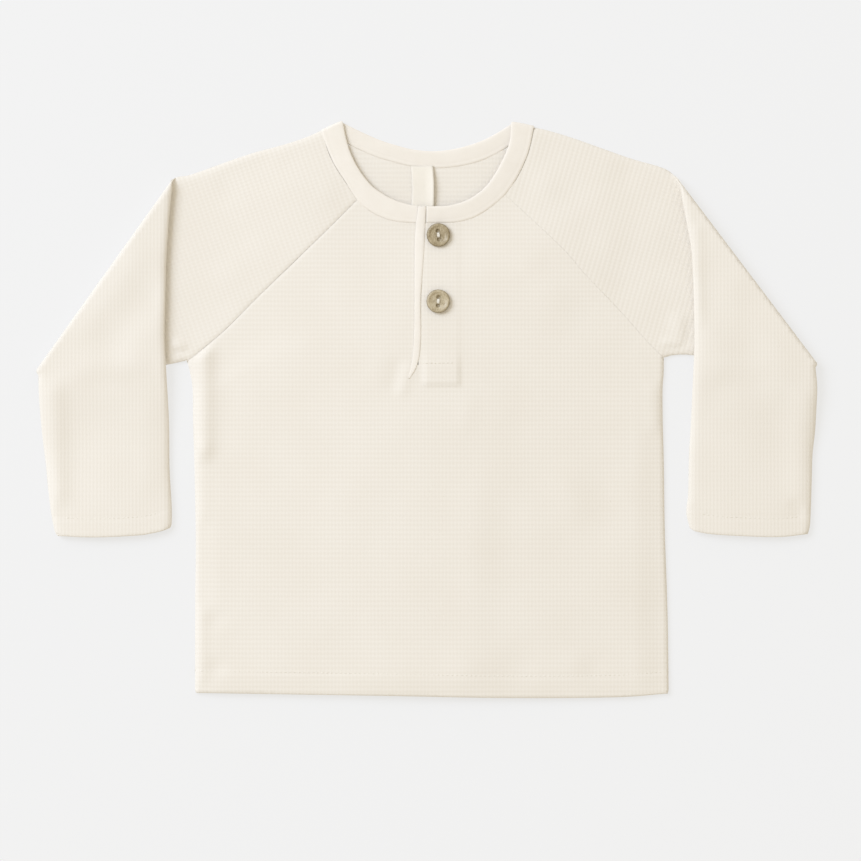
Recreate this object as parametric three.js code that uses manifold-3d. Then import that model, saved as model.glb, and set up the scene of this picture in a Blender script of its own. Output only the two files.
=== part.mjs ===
// A baby's long-sleeved henley, laid flat on its back with both sleeves folded forward.
// Millimetres, +Z up. X runs across the shirt (the wearer's right sleeve is at -X), Y runs from
// hem to neck, and the back panel rests on Z = 0. Every piece of cloth is a thin wall.
import * as THREE from "three";
import { mergeVertices } from "three/addons/utils/BufferGeometryUtils.js";
import Module from "manifold-3d";

const wasm = await Module();
wasm.setup();

// Driving sizes
const WALL = 1.2;            // one layer of waffle knit
const GAP = 0.3;             // clearance between neighbouring pieces
const HEM_Y = -154;          // the hem's edge
const BODY_PUFF = 1.5;       // how far the front panel stands above the back one
const PUFF_FADE = 30;        // over this width it settles towards a seam
const SLEEVE_LOFT = 1.5;     // how far the folded sleeve's top layer rises
const FOLD_DROP = 18;        // length over which the folded sleeve comes down to the table
const BAND_THICKNESS = 1.6;  // the neckband is a folded strip, two layers thick
const BAND_BEVEL = 0.6;       // its folded edge is rounded over this much
const BAND_FLAT_Y = 112;      // above this height the band no longer follows the front's puff
const SLIT_LEFT = -7.1;      // the placket opening in the front panel
const SLIT_RIGHT = -1.6;
const SLIT_BOTTOM = 22;
const STRIP_THICKNESS = 2.0; // the rolled strip along the opening
const STRIP_SIDE = 0.6;      // share of that thickness at the strip's edges
const STRIP_SHOULDER = 0.92; // and halfway between its edges and its middle
const UNDERLAP_THICKNESS = 1.0;
const UNDERLAP = { left: -1.5, right: 17, bottom: 13, top: 99.5 };
const LABEL = { left: -8.9, right: 3.0, bottom: 105, top: 129, thickness: 1.0, curl: 0.6 };
const BUTTON_RADIUS = 6.35;
const BUTTON_THICKNESS = 2.4;
const BUTTON_HOLE_RADIUS = 1.1;
const BUTTON_HOLE_PITCH = 4.4;
const BUTTON_X = 5.9;
const BUTTON_YS = { button_top: 93.6, button_bottom: 57.8 };
const NECK_CUT = { half: 58, top: 170 }; // reach of the cut that opens the neck, past the shirt
const CUT_DEPTH = 40;                    // height of the prisms that cut openings

const STACK = 2 * WALL + GAP;       // two layers lying on each other
const BEND_AXIS = STACK + GAP / 2;  // height of the axis round which a sleeve is folded
const FRONT_BASE = WALL + GAP;      // underside of the front panel at its seams

// Colours and finishes
const knit = { color: 0xf0eadd, roughness: 0.9, metalness: 0 };
const rib = { color: 0xf3eee2, roughness: 0.85, metalness: 0 };
const tape = { color: 0xf8f4ea, roughness: 0.7, metalness: 0 };
const shell = { color: 0xb29f7c, roughness: 0.55, metalness: 0 };

// Body: one row for each height, with the left and right edges there
const BODY_SIDES = [
  { y: -154, left: -125.2, right: 130.4 },
  { y: -100, left: -125.3, right: 129.4 },
  { y: -50, left: -125.7, right: 128.1 },
  { y: -6, left: -126.6, right: 127.2 },
  { y: 14, left: -126.4, right: 127.2 },
  { y: 25.5, left: -129.9, right: 127.7 },
];
const FRONT_RAGLAN = [
  { y: 42.9, left: -108.8, right: 112.6 },
  { y: 58.6, left: -93.2, right: 98.2 },
  { y: 76.4, left: -74.8, right: 82.0 },
  { y: 95, left: -55.6, right: 64.0 },
  { y: 117, left: -33.0, right: 39.6 },
];
const BACK_RAGLAN = [
  { y: 50, left: -114.6, right: 112.4 },
  { y: 80, left: -93.4, right: 92.4 },
  { y: 110, left: -69.6, right: 69.4 },
  { y: 145, left: -38.9, right: 34.8 },
];

// Neckband: matching points on its seam edge and on its free edge
const BAND_FRONT_LEFT = [
  { seam: [-7.4, 100.1], free: [-7.4, 109.4] },
  { seam: [-22.4, 102.3], free: [-18.6, 112.9] },
  { seam: [-30.5, 106.1], free: [-24.6, 116.4] },
  { seam: [-38.1, 112.6], free: [-30.5, 120.7] },
  { seam: [-45.1, 123.4], free: [-36.5, 128.3] },
  { seam: [-50.5, 132.0], free: [-41.3, 137.4] },
  { seam: [-57.0, 149.9], free: [-45.6, 154.7] },
];
const BAND_BACK = [
  { seam: [-57.0, 149.9], free: [-45.6, 154.7] },
  { seam: [-41.9, 142.3], free: [-35.4, 149.3] },
  { seam: [-20.3, 133.7], free: [-17.0, 142.3] },
  { seam: [1.4, 129.9], free: [1.4, 139.1] },
  { seam: [20.3, 131.5], free: [18.6, 141.2] },
  { seam: [40.8, 139.6], free: [35.4, 147.7] },
  { seam: [57.5, 150.9], free: [45.1, 153.6] },
];
const BAND_FRONT_RIGHT = [
  { seam: [57.5, 150.9], free: [45.1, 153.6] },
  { seam: [53.2, 134.7], free: [42.9, 139.6] },
  { seam: [48.3, 124.5], free: [38.6, 130.4] },
  { seam: [41.9, 115.3], free: [32.7, 121.2] },
  { seam: [33.8, 108.3], free: [26.2, 115.3] },
  { seam: [25.7, 103.4], free: [19.7, 111.8] },
  { seam: [1.6, 100.2], free: [1.6, 109.1] },
];

// Sleeves: u runs outward from the middle of the shirt. The fold is the slanting outer edge, and
// folded has a row for each section of the part that is turned over, from the fold to the cuff.
const SLEEVES = {
  sleeve_right: {
    side: -1,
    edge: "left",
    foldTop: [134.7, 125.0],
    foldLow: [211.3, 22.5],
    folded: [
      { inner: [140.6, 105], outer: [210.3, 12] },
      { inner: [141.9, 75], outer: [209.4, 0] },
      { inner: [143.0, 45], outer: [208.0, -12] },
      { inner: [143.2, 10], outer: [206.2, -25] },
      { inner: [141.5, -25], outer: [203.9, -45] },
      { inner: [139.6, -64.0], outer: [200.3, -68.6] },
    ],
  },
  sleeve_left: {
    side: 1,
    edge: "right",
    foldTop: [135.3, 125.0],
    foldLow: [212.5, 21.5],
    folded: [
      { inner: [140.6, 100], outer: [211.6, 10] },
      { inner: [143.0, 70], outer: [211.0, 0] },
      { inner: [144.2, 40], outer: [209.9, -14] },
      { inner: [143.4, 10], outer: [208.8, -28] },
      { inner: [140.8, -30], outer: [207.8, -46] },
      { inner: [141.6, -65.4], outer: [205.8, -67.6] },
    ],
  },
};
// Places along the fold that match the points of the sewn edge, from shoulder to underarm
const SHARES = [0, 0.05, 0.1, 0.15, 0.2, 0.25, 0.3, 0.42, 0.56, 0.7, 0.85, 1];
const FRONT_EDGE_YS = [95, 76.4, 58.6, 42.9];
const BACK_EDGE_YS = [133, 121, 110, 95, 80, 65, 50];
const UNDERARM_Y = 26.8;

function smooth(value) {
  const t = THREE.MathUtils.clamp(value, 0, 1);
  return t * t * (3 - 2 * t);
}

// Value of one column of a table at a given height, in straight steps between its rows
function column(rows, name, y) {
  const last = rows.length - 1;
  let i = 0;
  while (i < last - 1 && y > rows[i + 1].y) i += 1;
  const low = rows[i];
  const high = rows[i + 1];
  return THREE.MathUtils.mapLinear(y, low.y, high.y, low[name], high[name]);
}

// Turns points and triangles into a geometry whose faces point outwards
function closedGeometry(points, triangles) {
  let volume = 0;
  for (const [a, b, c] of triangles) {
    volume += points[a].dot(new THREE.Vector3().crossVectors(points[b], points[c]));
  }
  const index = triangles.flatMap(([a, b, c]) => (volume < 0 ? [a, c, b] : [a, b, c]));
  const geometry = new THREE.BufferGeometry();
  geometry.setAttribute("position", new THREE.Float32BufferAttribute(points.flatMap((p) => p.toArray()), 3));
  geometry.setIndex(index);
  return geometry;
}

function quad(triangles, a, b, c, d) {
  triangles.push([a, b, c], [a, c, d]);
}

// A flat piece as a wall: top[row][column] and the matching underside, joined round the edge
function sheetWall(top, under) {
  const rows = top.length;
  const columns = top[0].length;
  const points = [...top.flat(), ...under.flat()];
  const at = (layer, row, col) => layer * rows * columns + row * columns + col;
  const triangles = [];
  for (let row = 0; row < rows - 1; row += 1) {
    for (let col = 0; col < columns - 1; col += 1) {
      quad(triangles, at(0, row, col), at(0, row, col + 1), at(0, row + 1, col + 1), at(0, row + 1, col));
      quad(triangles, at(1, row, col), at(1, row + 1, col), at(1, row + 1, col + 1), at(1, row, col + 1));
    }
  }
  for (let col = 0; col < columns - 1; col += 1) {
    quad(triangles, at(0, 0, col), at(1, 0, col), at(1, 0, col + 1), at(0, 0, col + 1));
    const end = rows - 1;
    quad(triangles, at(0, end, col), at(0, end, col + 1), at(1, end, col + 1), at(1, end, col));
  }
  for (let row = 0; row < rows - 1; row += 1) {
    quad(triangles, at(0, row, 0), at(0, row + 1, 0), at(1, row + 1, 0), at(1, row, 0));
    const end = columns - 1;
    quad(triangles, at(0, row, end), at(1, row, end), at(1, row + 1, end), at(0, row + 1, end));
  }
  return closedGeometry(points, triangles);
}

// A tube of cloth from rings { outer, inner }, open at both ends
function tubeWall(rings) {
  const count = rings[0].outer.length;
  const points = rings.flatMap((ring) => [...ring.outer, ...ring.inner]);
  const at = (ring, layer, i) => (2 * ring + layer) * count + (i % count);
  const triangles = [];
  for (let ring = 0; ring < rings.length - 1; ring += 1) {
    for (let i = 0; i < count; i += 1) {
      quad(triangles, at(ring, 0, i), at(ring, 0, i + 1), at(ring + 1, 0, i + 1), at(ring + 1, 0, i));
      quad(triangles, at(ring, 1, i), at(ring + 1, 1, i), at(ring + 1, 1, i + 1), at(ring, 1, i + 1));
    }
  }
  const end = rings.length - 1;
  for (let i = 0; i < count; i += 1) {
    quad(triangles, at(0, 0, i), at(0, 1, i), at(0, 1, i + 1), at(0, 0, i + 1));
    quad(triangles, at(end, 0, i), at(end, 0, i + 1), at(end, 1, i + 1), at(end, 1, i));
  }
  return closedGeometry(points, triangles);
}

// A solid strip through convex sections with the same number of points
function strip(sections) {
  const count = sections[0].length;
  const at = (section, i) => section * count + (i % count);
  const triangles = [];
  for (let s = 0; s < sections.length - 1; s += 1) {
    for (let i = 0; i < count; i += 1) {
      quad(triangles, at(s, i), at(s, i + 1), at(s + 1, i + 1), at(s + 1, i));
    }
  }
  const end = sections.length - 1;
  for (let i = 1; i < count - 1; i += 1) {
    triangles.push([at(0, 0), at(0, i + 1), at(0, i)], [at(end, 0), at(end, i), at(end, i + 1)]);
  }
  return closedGeometry(sections.flat(), triangles);
}

function toSolid(geometry) {
  const bare = geometry.clone();
  bare.deleteAttribute("normal");
  bare.deleteAttribute("uv");
  const merged = mergeVertices(bare, 1e-4);
  const vertProperties = new Float32Array(merged.attributes.position.array);
  const triVerts = new Uint32Array(merged.index.array);
  return new wasm.Manifold(new wasm.Mesh({ numProp: 3, vertProperties, triVerts }));
}

function fromSolid(solid) {
  const mesh = solid.getMesh();
  const geometry = new THREE.BufferGeometry();
  geometry.setAttribute("position", new THREE.Float32BufferAttribute(mesh.vertProperties, 3));
  geometry.setIndex(Array.from(mesh.triVerts));
  return geometry;
}

// A tall prism over a plan outline, used to cut openings
function prism(outline) {
  const shape = new THREE.Shape(outline.map(([x, y]) => new THREE.Vector2(x, y)));
  const geometry = new THREE.ExtrudeGeometry(shape, { depth: CUT_DEPTH, bevelEnabled: false });
  geometry.translate(0, 0, -CUT_DEPTH / 2);
  return toSolid(geometry);
}

// Matching seam and free points along the neckband, evenly spaced on a smooth curve
function bandPath(rows, steps) {
  const curveThrough = (name) => new THREE.SplineCurve(rows.map((row) => new THREE.Vector2(...row[name])));
  const seam = curveThrough("seam");
  const free = curveThrough("free");
  return Array.from({ length: steps + 1 }, (_, i) => ({
    seam: seam.getPoint(i / steps),
    free: free.getPoint(i / steps),
  }));
}

const bandLeft = bandPath(BAND_FRONT_LEFT, 12);
const bandBack = bandPath(BAND_BACK, 18);
const bandRight = bandPath(BAND_FRONT_RIGHT, 12);

// The seam edge moved away from the neck, as an outline for the panel sewn to it
function neckOutline(stations, clearance) {
  return stations.map(({ seam, free }) => {
    const away = seam.clone().sub(free).normalize();
    return seam.clone().addScaledVector(away, clearance).toArray();
  });
}

const frontRows = [...BODY_SIDES, ...FRONT_RAGLAN];
const backRows = [...BODY_SIDES, ...BACK_RAGLAN];

// Height of the front panel's underside: on the back panel at the seams, puffed inside
function frontUnderside(x, y) {
  const inside = Math.min(x - column(frontRows, "left", y), column(frontRows, "right", y) - x);
  const fromHem = y - HEM_Y + PUFF_FADE / 3;
  return FRONT_BASE + BODY_PUFF * smooth(Math.min(inside, fromHem) / PUFF_FADE);
}

function bodyPanel(rows, heights, columns, underside) {
  const under = heights.map((y) => {
    const left = column(rows, "left", y);
    const right = column(rows, "right", y);
    return Array.from({ length: columns + 1 }, (_, i) => {
      const x = THREE.MathUtils.lerp(left, right, i / columns);
      return new THREE.Vector3(x, y, underside(x, y));
    });
  });
  const top = under.map((line) => line.map((p) => p.clone().setZ(p.z + WALL)));
  return toSolid(sheetWall(top, under));
}

// An outline of the neck, closed above the shirt
function neckPrism(outline) {
  return prism([...outline, [NECK_CUT.half, NECK_CUT.top], [-NECK_CUT.half, NECK_CUT.top]]);
}

function backPanel() {
  const heights = [-154, -120, -80, -40, -6, 14, 25.5, 50, 80, 110, 145];
  const panel = bodyPanel(backRows, heights, 8, () => 0);
  return fromSolid(panel.subtract(neckPrism(neckOutline(bandBack, GAP))));
}

function frontPanel() {
  const lowHeights = [-154, -144, -134, -115, -90, -60, -30, -6, 8, 17];
  const heights = [...lowHeights, 25.5, 34, 42.9, 58.6, 76.4, 95, 106, 117];
  const panel = bodyPanel(frontRows, heights, 18, frontUnderside);
  const left = neckOutline(bandLeft, GAP).reverse();
  const right = neckOutline(bandRight, GAP).reverse();
  const slit = prism([
    [SLIT_LEFT, SLIT_BOTTOM],
    [SLIT_RIGHT, SLIT_BOTTOM],
    [SLIT_RIGHT, NECK_CUT.top],
    [SLIT_LEFT, NECK_CUT.top],
  ]);
  return fromSolid(panel.subtract(neckPrism([...left, ...right])).subtract(slit));
}

// The edges sewn to neckband and body, from shoulder to underarm, for the front and back layers
function sewnEdges(side, edge) {
  const clear = (rows) => (y) => [column(rows, edge, y) + side * GAP * Math.SQRT2, y];
  const underarm = [column(BODY_SIDES, edge, BODY_SIDES.at(-1).y) + side * GAP, UNDERARM_Y];
  const frontBand = side < 0 ? [...bandLeft].reverse() : bandRight;
  const backBand = side < 0 ? bandBack : [...bandBack].reverse();
  return {
    front: [...neckOutline(frontBand.slice(0, 7), GAP), ...FRONT_EDGE_YS.map(clear(frontRows)), underarm],
    back: [...neckOutline(backBand.slice(0, 4), GAP), ...BACK_EDGE_YS.map(clear(backRows)), underarm],
  };
}

// One ring of a sleeve: layers front and back as middle-surface points, folds at both ends
function sleeveRing({ front, back, topWay, lowWay, up }) {
  const outer = [];
  const inner = [];
  const add = (point, normal) => {
    outer.push(point.clone().addScaledVector(normal, WALL / 2));
    inner.push(point.clone().addScaledVector(normal, -WALL / 2));
  };
  const addFold = (a, b, way, startSign) => {
    const centre = a.clone().add(b).divideScalar(2);
    const radius = a.distanceTo(b) / 2;
    for (const turn of [-45, 0, 45]) {
      const angle = THREE.MathUtils.degToRad(turn) * startSign;
      const normal = way.clone().multiplyScalar(Math.cos(angle)).addScaledVector(up, Math.sin(angle));
      add(centre.clone().addScaledVector(normal, radius), normal);
    }
  };
  const down = up.clone().negate();
  back.forEach((point) => add(point, down));
  addFold(back.at(-1), front.at(-1), lowWay, 1);
  [...front].reverse().forEach((point) => add(point, up));
  addFold(front[0], back[0], topWay, -1);
  return { outer, inner };
}

function mixLayers(a, b, t) {
  const mix = (p, q) => p.clone().lerp(q, t);
  return {
    front: a.front.map((p, i) => mix(p, b.front[i])),
    back: a.back.map((p, i) => mix(p, b.back[i])),
    topWay: mix(a.topWay, b.topWay).normalize(),
    lowWay: mix(a.lowWay, b.lowWay).normalize(),
    up: mix(a.up, b.up).normalize(),
  };
}

// A sleeve is a flattened tube: sewn edge, straight run, turned over at the slanting fold, cuff
function sleeve({ side, edge, foldTop, foldLow, folded }) {
  const edges = sewnEdges(side, edge);
  const place = ([u, y], z = 0) => new THREE.Vector3(side * u, y, z);
  const inset = STACK / 2;
  const backMid = WALL / 2;
  const frontMid = WALL * 1.5 + GAP;
  const up = new THREE.Vector3(0, 0, 1);
  const top = place(foldTop);
  const low = place(foldLow);
  const along = low.clone().sub(top).normalize();
  const outward = new THREE.Vector3().crossVectors(along, up).multiplyScalar(-side).normalize();

  // Sewn edge: both layers lie flat
  const lift = (points, height) => points.map(([x, y]) => new THREE.Vector3(x, y, height));
  const neckPoint = lift(edges.front, 0)[0];
  const shoulderLine = top.clone().sub(neckPoint).normalize();
  const shoulderWay = new THREE.Vector3().crossVectors(up, shoulderLine).multiplyScalar(side).normalize();
  const underarmWay = shoulderWay.clone().negate();
  const settle = (points) => points.map((p, i) => {
    if (i === 0) return p.addScaledVector(shoulderWay, -inset);
    if (i === points.length - 1) return p.addScaledVector(underarmWay, -inset);
    return p;
  });
  const sewn = {
    front: settle(lift(edges.front, frontMid)),
    back: settle(lift(edges.back, backMid)),
    topWay: shoulderWay,
    lowWay: underarmWay,
    up,
  };

  // Turning over the fold: angle 0 lies flat, angle 180 lies upside down on top
  const turned = (degrees) => {
    const angle = THREE.MathUtils.degToRad(degrees);
    const axisTop = top.clone().addScaledVector(outward, -BEND_AXIS);
    const axisLow = low.clone().addScaledVector(outward, -BEND_AXIS);
    const radial = outward.clone().multiplyScalar(Math.sin(angle)).addScaledVector(up, -Math.cos(angle));
    const length = axisTop.distanceTo(axisLow);
    const layer = (height) => SHARES.map((spot) => {
      const share = THREE.MathUtils.lerp(inset, length - inset, spot) / length;
      const axis = axisTop.clone().lerp(axisLow, share).setZ(BEND_AXIS);
      return axis.addScaledVector(radial, BEND_AXIS - height);
    });
    return {
      front: layer(frontMid),
      back: layer(backMid),
      topWay: along.clone().negate(),
      lowWay: along.clone(),
      up: radial.clone().negate(),
    };
  };

  // Past the fold the tube lies upside down, its back layer on top, and comes down to the table
  const underarmAt = (x) => {
    const from = side * edges.front.at(-1)[0];
    return THREE.MathUtils.mapLinear(side * x, from, foldLow[0], UNDERARM_Y, foldLow[1]);
  };
  const droop = (point) => {
    const past = underarmAt(point.x) - inset - point.y;
    return (STACK + GAP) * smooth(past / FOLD_DROP);
  };
  const laid = ({ inner, outer }) => {
    const from = place(inner);
    const to = place(outer);
    const way = to.clone().sub(from).normalize();
    const length = from.distanceTo(to);
    const layer = (height, loft) => SHARES.map((spot) => {
      const share = THREE.MathUtils.lerp(inset, length - inset, spot) / length;
      const point = from.clone().lerp(to, share);
      const rise = loft * Math.sin(Math.PI * spot);
      return point.setZ(2 * BEND_AXIS - height - droop(point) + rise);
    });
    return {
      front: layer(frontMid, 0),
      back: layer(backMid, SLEEVE_LOFT),
      topWay: way.clone().negate(),
      lowWay: way,
      up: up.clone().negate(),
    };
  };

  const flat = turned(0);
  const rings = [
    sewn,
    mixLayers(sewn, flat, 0.3),
    mixLayers(sewn, flat, 0.65),
    ...[0, 45, 90, 135, 180].map(turned),
    ...folded.map(laid),
  ];
  return tubeWall(rings.map(sleeveRing));
}

// Neckband section: flat strip from seam edge to a rounded free edge. turn 0 lies as on the back,
// turn 180 as on the front; between them it goes over the shoulder.
function bandSection(station, turn, base) {
  const seam = new THREE.Vector3(station.seam.x, station.seam.y, 0);
  const free = new THREE.Vector3(station.free.x, station.free.y, 0);
  const across = free.clone().sub(seam).normalize();
  const up = new THREE.Vector3(0, 0, 1);
  const outside = new THREE.Vector3().crossVectors(across, up);
  if (outside.x * seam.x < 0) outside.negate();
  const angle = THREE.MathUtils.degToRad(turn);
  const half = BAND_THICKNESS / 2;
  const radius = half + GAP / 2;
  const centre = new THREE.Vector3()
    .addScaledVector(outside, radius * Math.sin(angle))
    .setZ(base + half);
  const normal = outside.clone().multiplyScalar(Math.sin(angle)).addScaledVector(up, -Math.cos(angle));
  const at = (edge, inward, height) => edge.clone().add(centre)
    .addScaledVector(across, -inward).addScaledVector(normal, height);
  return [
    at(seam, 0, -half),
    at(free, BAND_BEVEL, -half),
    at(free, 0, 0),
    at(free, BAND_BEVEL, half),
    at(seam, 0, half),
  ];
}

function neckband() {
  const frontBase = ({ seam, free }) => {
    const x = (seam.x + free.x) / 2;
    return Math.max(BAND_THICKNESS + GAP, frontUnderside(x, Math.min(seam.y, BAND_FLAT_Y)));
  };
  const shoulderTurns = [22.5, 45, 67.5, 90, 112.5, 135, 157.5];
  const shoulderBase = (turn) => (BAND_THICKNESS + GAP) * (1 - Math.cos(THREE.MathUtils.degToRad(turn))) / 2;
  const sections = [];
  bandLeft.forEach((station) => sections.push(bandSection(station, 180, frontBase(station))));
  [...shoulderTurns].reverse().forEach((turn) => {
    sections.push(bandSection(bandLeft.at(-1), turn, shoulderBase(turn)));
  });
  bandBack.forEach((station) => sections.push(bandSection(station, 0, 0)));
  shoulderTurns.forEach((turn) => sections.push(bandSection(bandRight[0], turn, shoulderBase(turn))));
  bandRight.forEach((station) => sections.push(bandSection(station, 180, frontBase(station))));
  return strip(sections);
}

// The rolled strip down the opening: a low dome, narrower towards its lower end
function placketStrip() {
  const rows = [
    { y: 109.2, left: -6.8, right: -2.2 },
    { y: 100, left: -6.8, right: -1.9 },
    { y: 80, left: -6.8, right: -2.2 },
    { y: 57, left: -6.8, right: -3.0 },
    { y: 38, left: -6.8, right: -3.0 },
    { y: SLIT_BOTTOM + GAP, left: -6.8, right: -4.0 },
  ];
  const base = FRONT_BASE + BODY_PUFF;
  return strip(rows.map(({ y, left, right }) => {
    const middle = (left + right) / 2;
    const quarter = (right - left) / 4;
    return [
      new THREE.Vector3(left, y, base),
      new THREE.Vector3(right, y, base),
      new THREE.Vector3(right, y, base + STRIP_THICKNESS * STRIP_SIDE),
      new THREE.Vector3(middle + quarter, y, base + STRIP_THICKNESS * STRIP_SHOULDER),
      new THREE.Vector3(middle, y, base + STRIP_THICKNESS),
      new THREE.Vector3(middle - quarter, y, base + STRIP_THICKNESS * STRIP_SHOULDER),
      new THREE.Vector3(left, y, base + STRIP_THICKNESS * STRIP_SIDE),
    ];
  }));
}

function placketUnderlap() {
  const { left, right, bottom, top } = UNDERLAP;
  const geometry = new THREE.BoxGeometry(right - left, top - bottom, UNDERLAP_THICKNESS);
  geometry.translate((left + right) / 2, (bottom + top) / 2, FRONT_BASE + UNDERLAP_THICKNESS / 2);
  return geometry;
}

// A bare loop of tape, hanging from the back neck seam, its right edge curling up
function neckLabel() {
  const { left, right, bottom, top, thickness, curl } = LABEL;
  const under = [0, 0.25, 0.5, 0.75, 1].map((t) => [0, 0.35, 0.65, 0.85, 1].map((s) => {
    const lift = curl * smooth((s - 0.5) * 2) * Math.sin(Math.PI * t);
    const x = THREE.MathUtils.lerp(left, right, s);
    const y = THREE.MathUtils.lerp(top, bottom, t);
    return new THREE.Vector3(x, y, FRONT_BASE + lift);
  }));
  const face = under.map((line) => line.map((p) => p.clone().setZ(p.z + thickness)));
  return sheetWall(face, under);
}

// A two-hole button with a raised rim and a dished face
function button() {
  const r = BUTTON_RADIUS;
  const t = BUTTON_THICKNESS;
  const profile = [
    [0, 0], [r - 1.2, 0], [r - 0.3, 0.5], [r, 1.1], [r - 0.2, t - 0.3], [r - 0.8, t],
    [r - 1.5, t - 0.2], [r - 2.1, t - 0.7], [0, t - 0.9],
  ].map(([x, y]) => new THREE.Vector2(x, y));
  const disc = new THREE.LatheGeometry(profile, 32);
  disc.rotateX(Math.PI / 2);
  let solid = toSolid(disc);
  for (const end of [-1, 1]) {
    const hole = new THREE.CylinderGeometry(BUTTON_HOLE_RADIUS, BUTTON_HOLE_RADIUS, 4 * t, 14);
    hole.rotateX(Math.PI / 2);
    hole.translate(0, end * BUTTON_HOLE_PITCH / 2, 0);
    solid = solid.subtract(toSolid(hole));
  }
  return fromSolid(solid);
}

const shirt = new THREE.Group();

function addPiece(name, geometry, finish, [x, y, z] = [0, 0, 0]) {
  const mesh = new THREE.Mesh(geometry, new THREE.MeshStandardMaterial(finish));
  mesh.name = name;
  mesh.position.set(x, y, z);
  shirt.add(mesh);
}

addPiece("back_panel", backPanel(), knit);
addPiece("front_panel", frontPanel(), knit);
for (const [name, spec] of Object.entries(SLEEVES)) addPiece(name, sleeve(spec), knit);
addPiece("neckband", neckband(), rib);
addPiece("placket_strip", placketStrip(), rib);
addPiece("placket_underlap", placketUnderlap(), knit);
addPiece("neck_label", neckLabel(), tape);
for (const [name, y] of Object.entries(BUTTON_YS)) {
  const height = frontUnderside(BUTTON_X, y) + WALL + GAP;
  addPiece(name, button(), shell, [BUTTON_X, y, height]);
}

// The origin is the middle of the underside of the whole shirt
const extent = new THREE.Box3().setFromObject(shirt);
const middle = extent.getCenter(new THREE.Vector3());
shirt.position.set(-middle.x, -middle.y, -extent.min.z);

export default shirt;
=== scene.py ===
# %% [markdown]
# # A baby's waffle-knit henley, laid flat
#
# The shirt lies on its back on a pale table, with both sleeves folded forward along a slanting
# crease. It is drawn in millimetres in plan, as a maker would chalk it, and each piece of cloth
# is then given its height above the table.

# %% Load the frame
import math

import bpy
import bmesh
import numpy as np
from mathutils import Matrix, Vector
from mathutils.geometry import delaunay_2d_cdt


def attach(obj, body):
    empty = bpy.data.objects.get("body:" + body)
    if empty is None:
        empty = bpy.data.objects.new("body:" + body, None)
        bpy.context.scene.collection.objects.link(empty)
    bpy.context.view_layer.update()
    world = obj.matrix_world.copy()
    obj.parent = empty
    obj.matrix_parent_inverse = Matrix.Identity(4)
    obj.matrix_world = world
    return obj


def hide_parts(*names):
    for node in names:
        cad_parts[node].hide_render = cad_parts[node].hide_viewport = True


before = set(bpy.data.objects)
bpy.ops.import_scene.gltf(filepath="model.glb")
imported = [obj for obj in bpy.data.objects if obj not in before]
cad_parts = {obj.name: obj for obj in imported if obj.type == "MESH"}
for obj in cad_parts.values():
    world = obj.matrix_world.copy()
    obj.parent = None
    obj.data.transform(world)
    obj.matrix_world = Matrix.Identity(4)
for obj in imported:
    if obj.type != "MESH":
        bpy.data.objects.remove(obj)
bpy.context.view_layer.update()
MM = 0.001
MIDDLE = np.array([0.60, 1.04])     # the frame's origin, in the plan's own millimetres

# %% [markdown]
# ## Small tools for drawing in plan
#
# A pattern piece is a closed line. Smooth lines run through a few points, like a flexible ruler.
# Everything works on whole arrays of points, because a waffle knit needs tens of thousands.

# %% Lines and distances
def smooth(value):
    t = np.clip(value, 0.0, 1.0)
    return t * t * (3.0 - 2.0 * t)


def ruler(points, step, bent=True):
    """Points at an even step along a smooth line through the given ones."""
    p = np.array(points, float)
    if bent and len(p) > 2:
        ends = [2 * p[0] - p[1], *p, 2 * p[-1] - p[-2]]
        dense = []
        for a, b, c, d in zip(ends, ends[1:], ends[2:], ends[3:]):
            t = np.linspace(0, 1, 24, endpoint=False)[:, None]
            dense.append(0.5 * (2 * b + (c - a) * t + (2 * a - 5 * b + 4 * c - d) * t ** 2
                                + (3 * b - a - 3 * c + d) * t ** 3))
        p = np.vstack([*dense, p[-1:]])
    run = np.concatenate([[0], np.cumsum(np.linalg.norm(np.diff(p, axis=0), axis=1))])
    count = max(2, int(round(run[-1] / step)) + 1)
    at = np.linspace(0, run[-1], count)
    return np.stack([np.interp(at, run, p[:, i]) for i in range(p.shape[1])], axis=1)


def distance(points, line):
    """How far each point is from a line of straight steps."""
    best = np.full(len(points), 1e9)
    for a, b in zip(line[:-1], line[1:]):
        way = b - a
        t = np.clip(((points - a) @ way) / max(way @ way, 1e-12), 0, 1)
        gap = points - a - t[:, None] * way
        best = np.minimum(best, np.einsum("ij,ij->i", gap, gap))
    return np.sqrt(best)


def nearest(points, *lines):
    """How far each point is from the closest of several lines."""
    return np.min([distance(points, line) for line in lines], axis=0)


def inside(points, loop):
    """Whether each point lies inside a closed loop."""
    x, y = points[:, 0], points[:, 1]
    hit = np.zeros(len(points), bool)
    for (ax, ay), (bx, by) in zip(loop, np.roll(loop, -1, axis=0)):
        if ay == by:
            continue
        crosses = (ay > y) != (by > y)
        hit ^= crosses & (x < (bx - ax) * (y - ay) / (by - ay) + ax)
    return hit


def turned(points, degrees, centre=(0, 0)):
    a = math.radians(degrees)
    turn = np.array([[math.cos(a), math.sin(a)], [-math.sin(a), math.cos(a)]])
    return (np.asarray(points, float) - centre) @ turn + centre


# %% [markdown]
# ## Creases
#
# Laid cloth keeps soft troughs and ridges where it was handled. Each is a row here: where it
# starts and ends, how wide it is, and how far it rises (or sinks, when negative). They are uneven
# on purpose, as in the real shirt.

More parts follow.
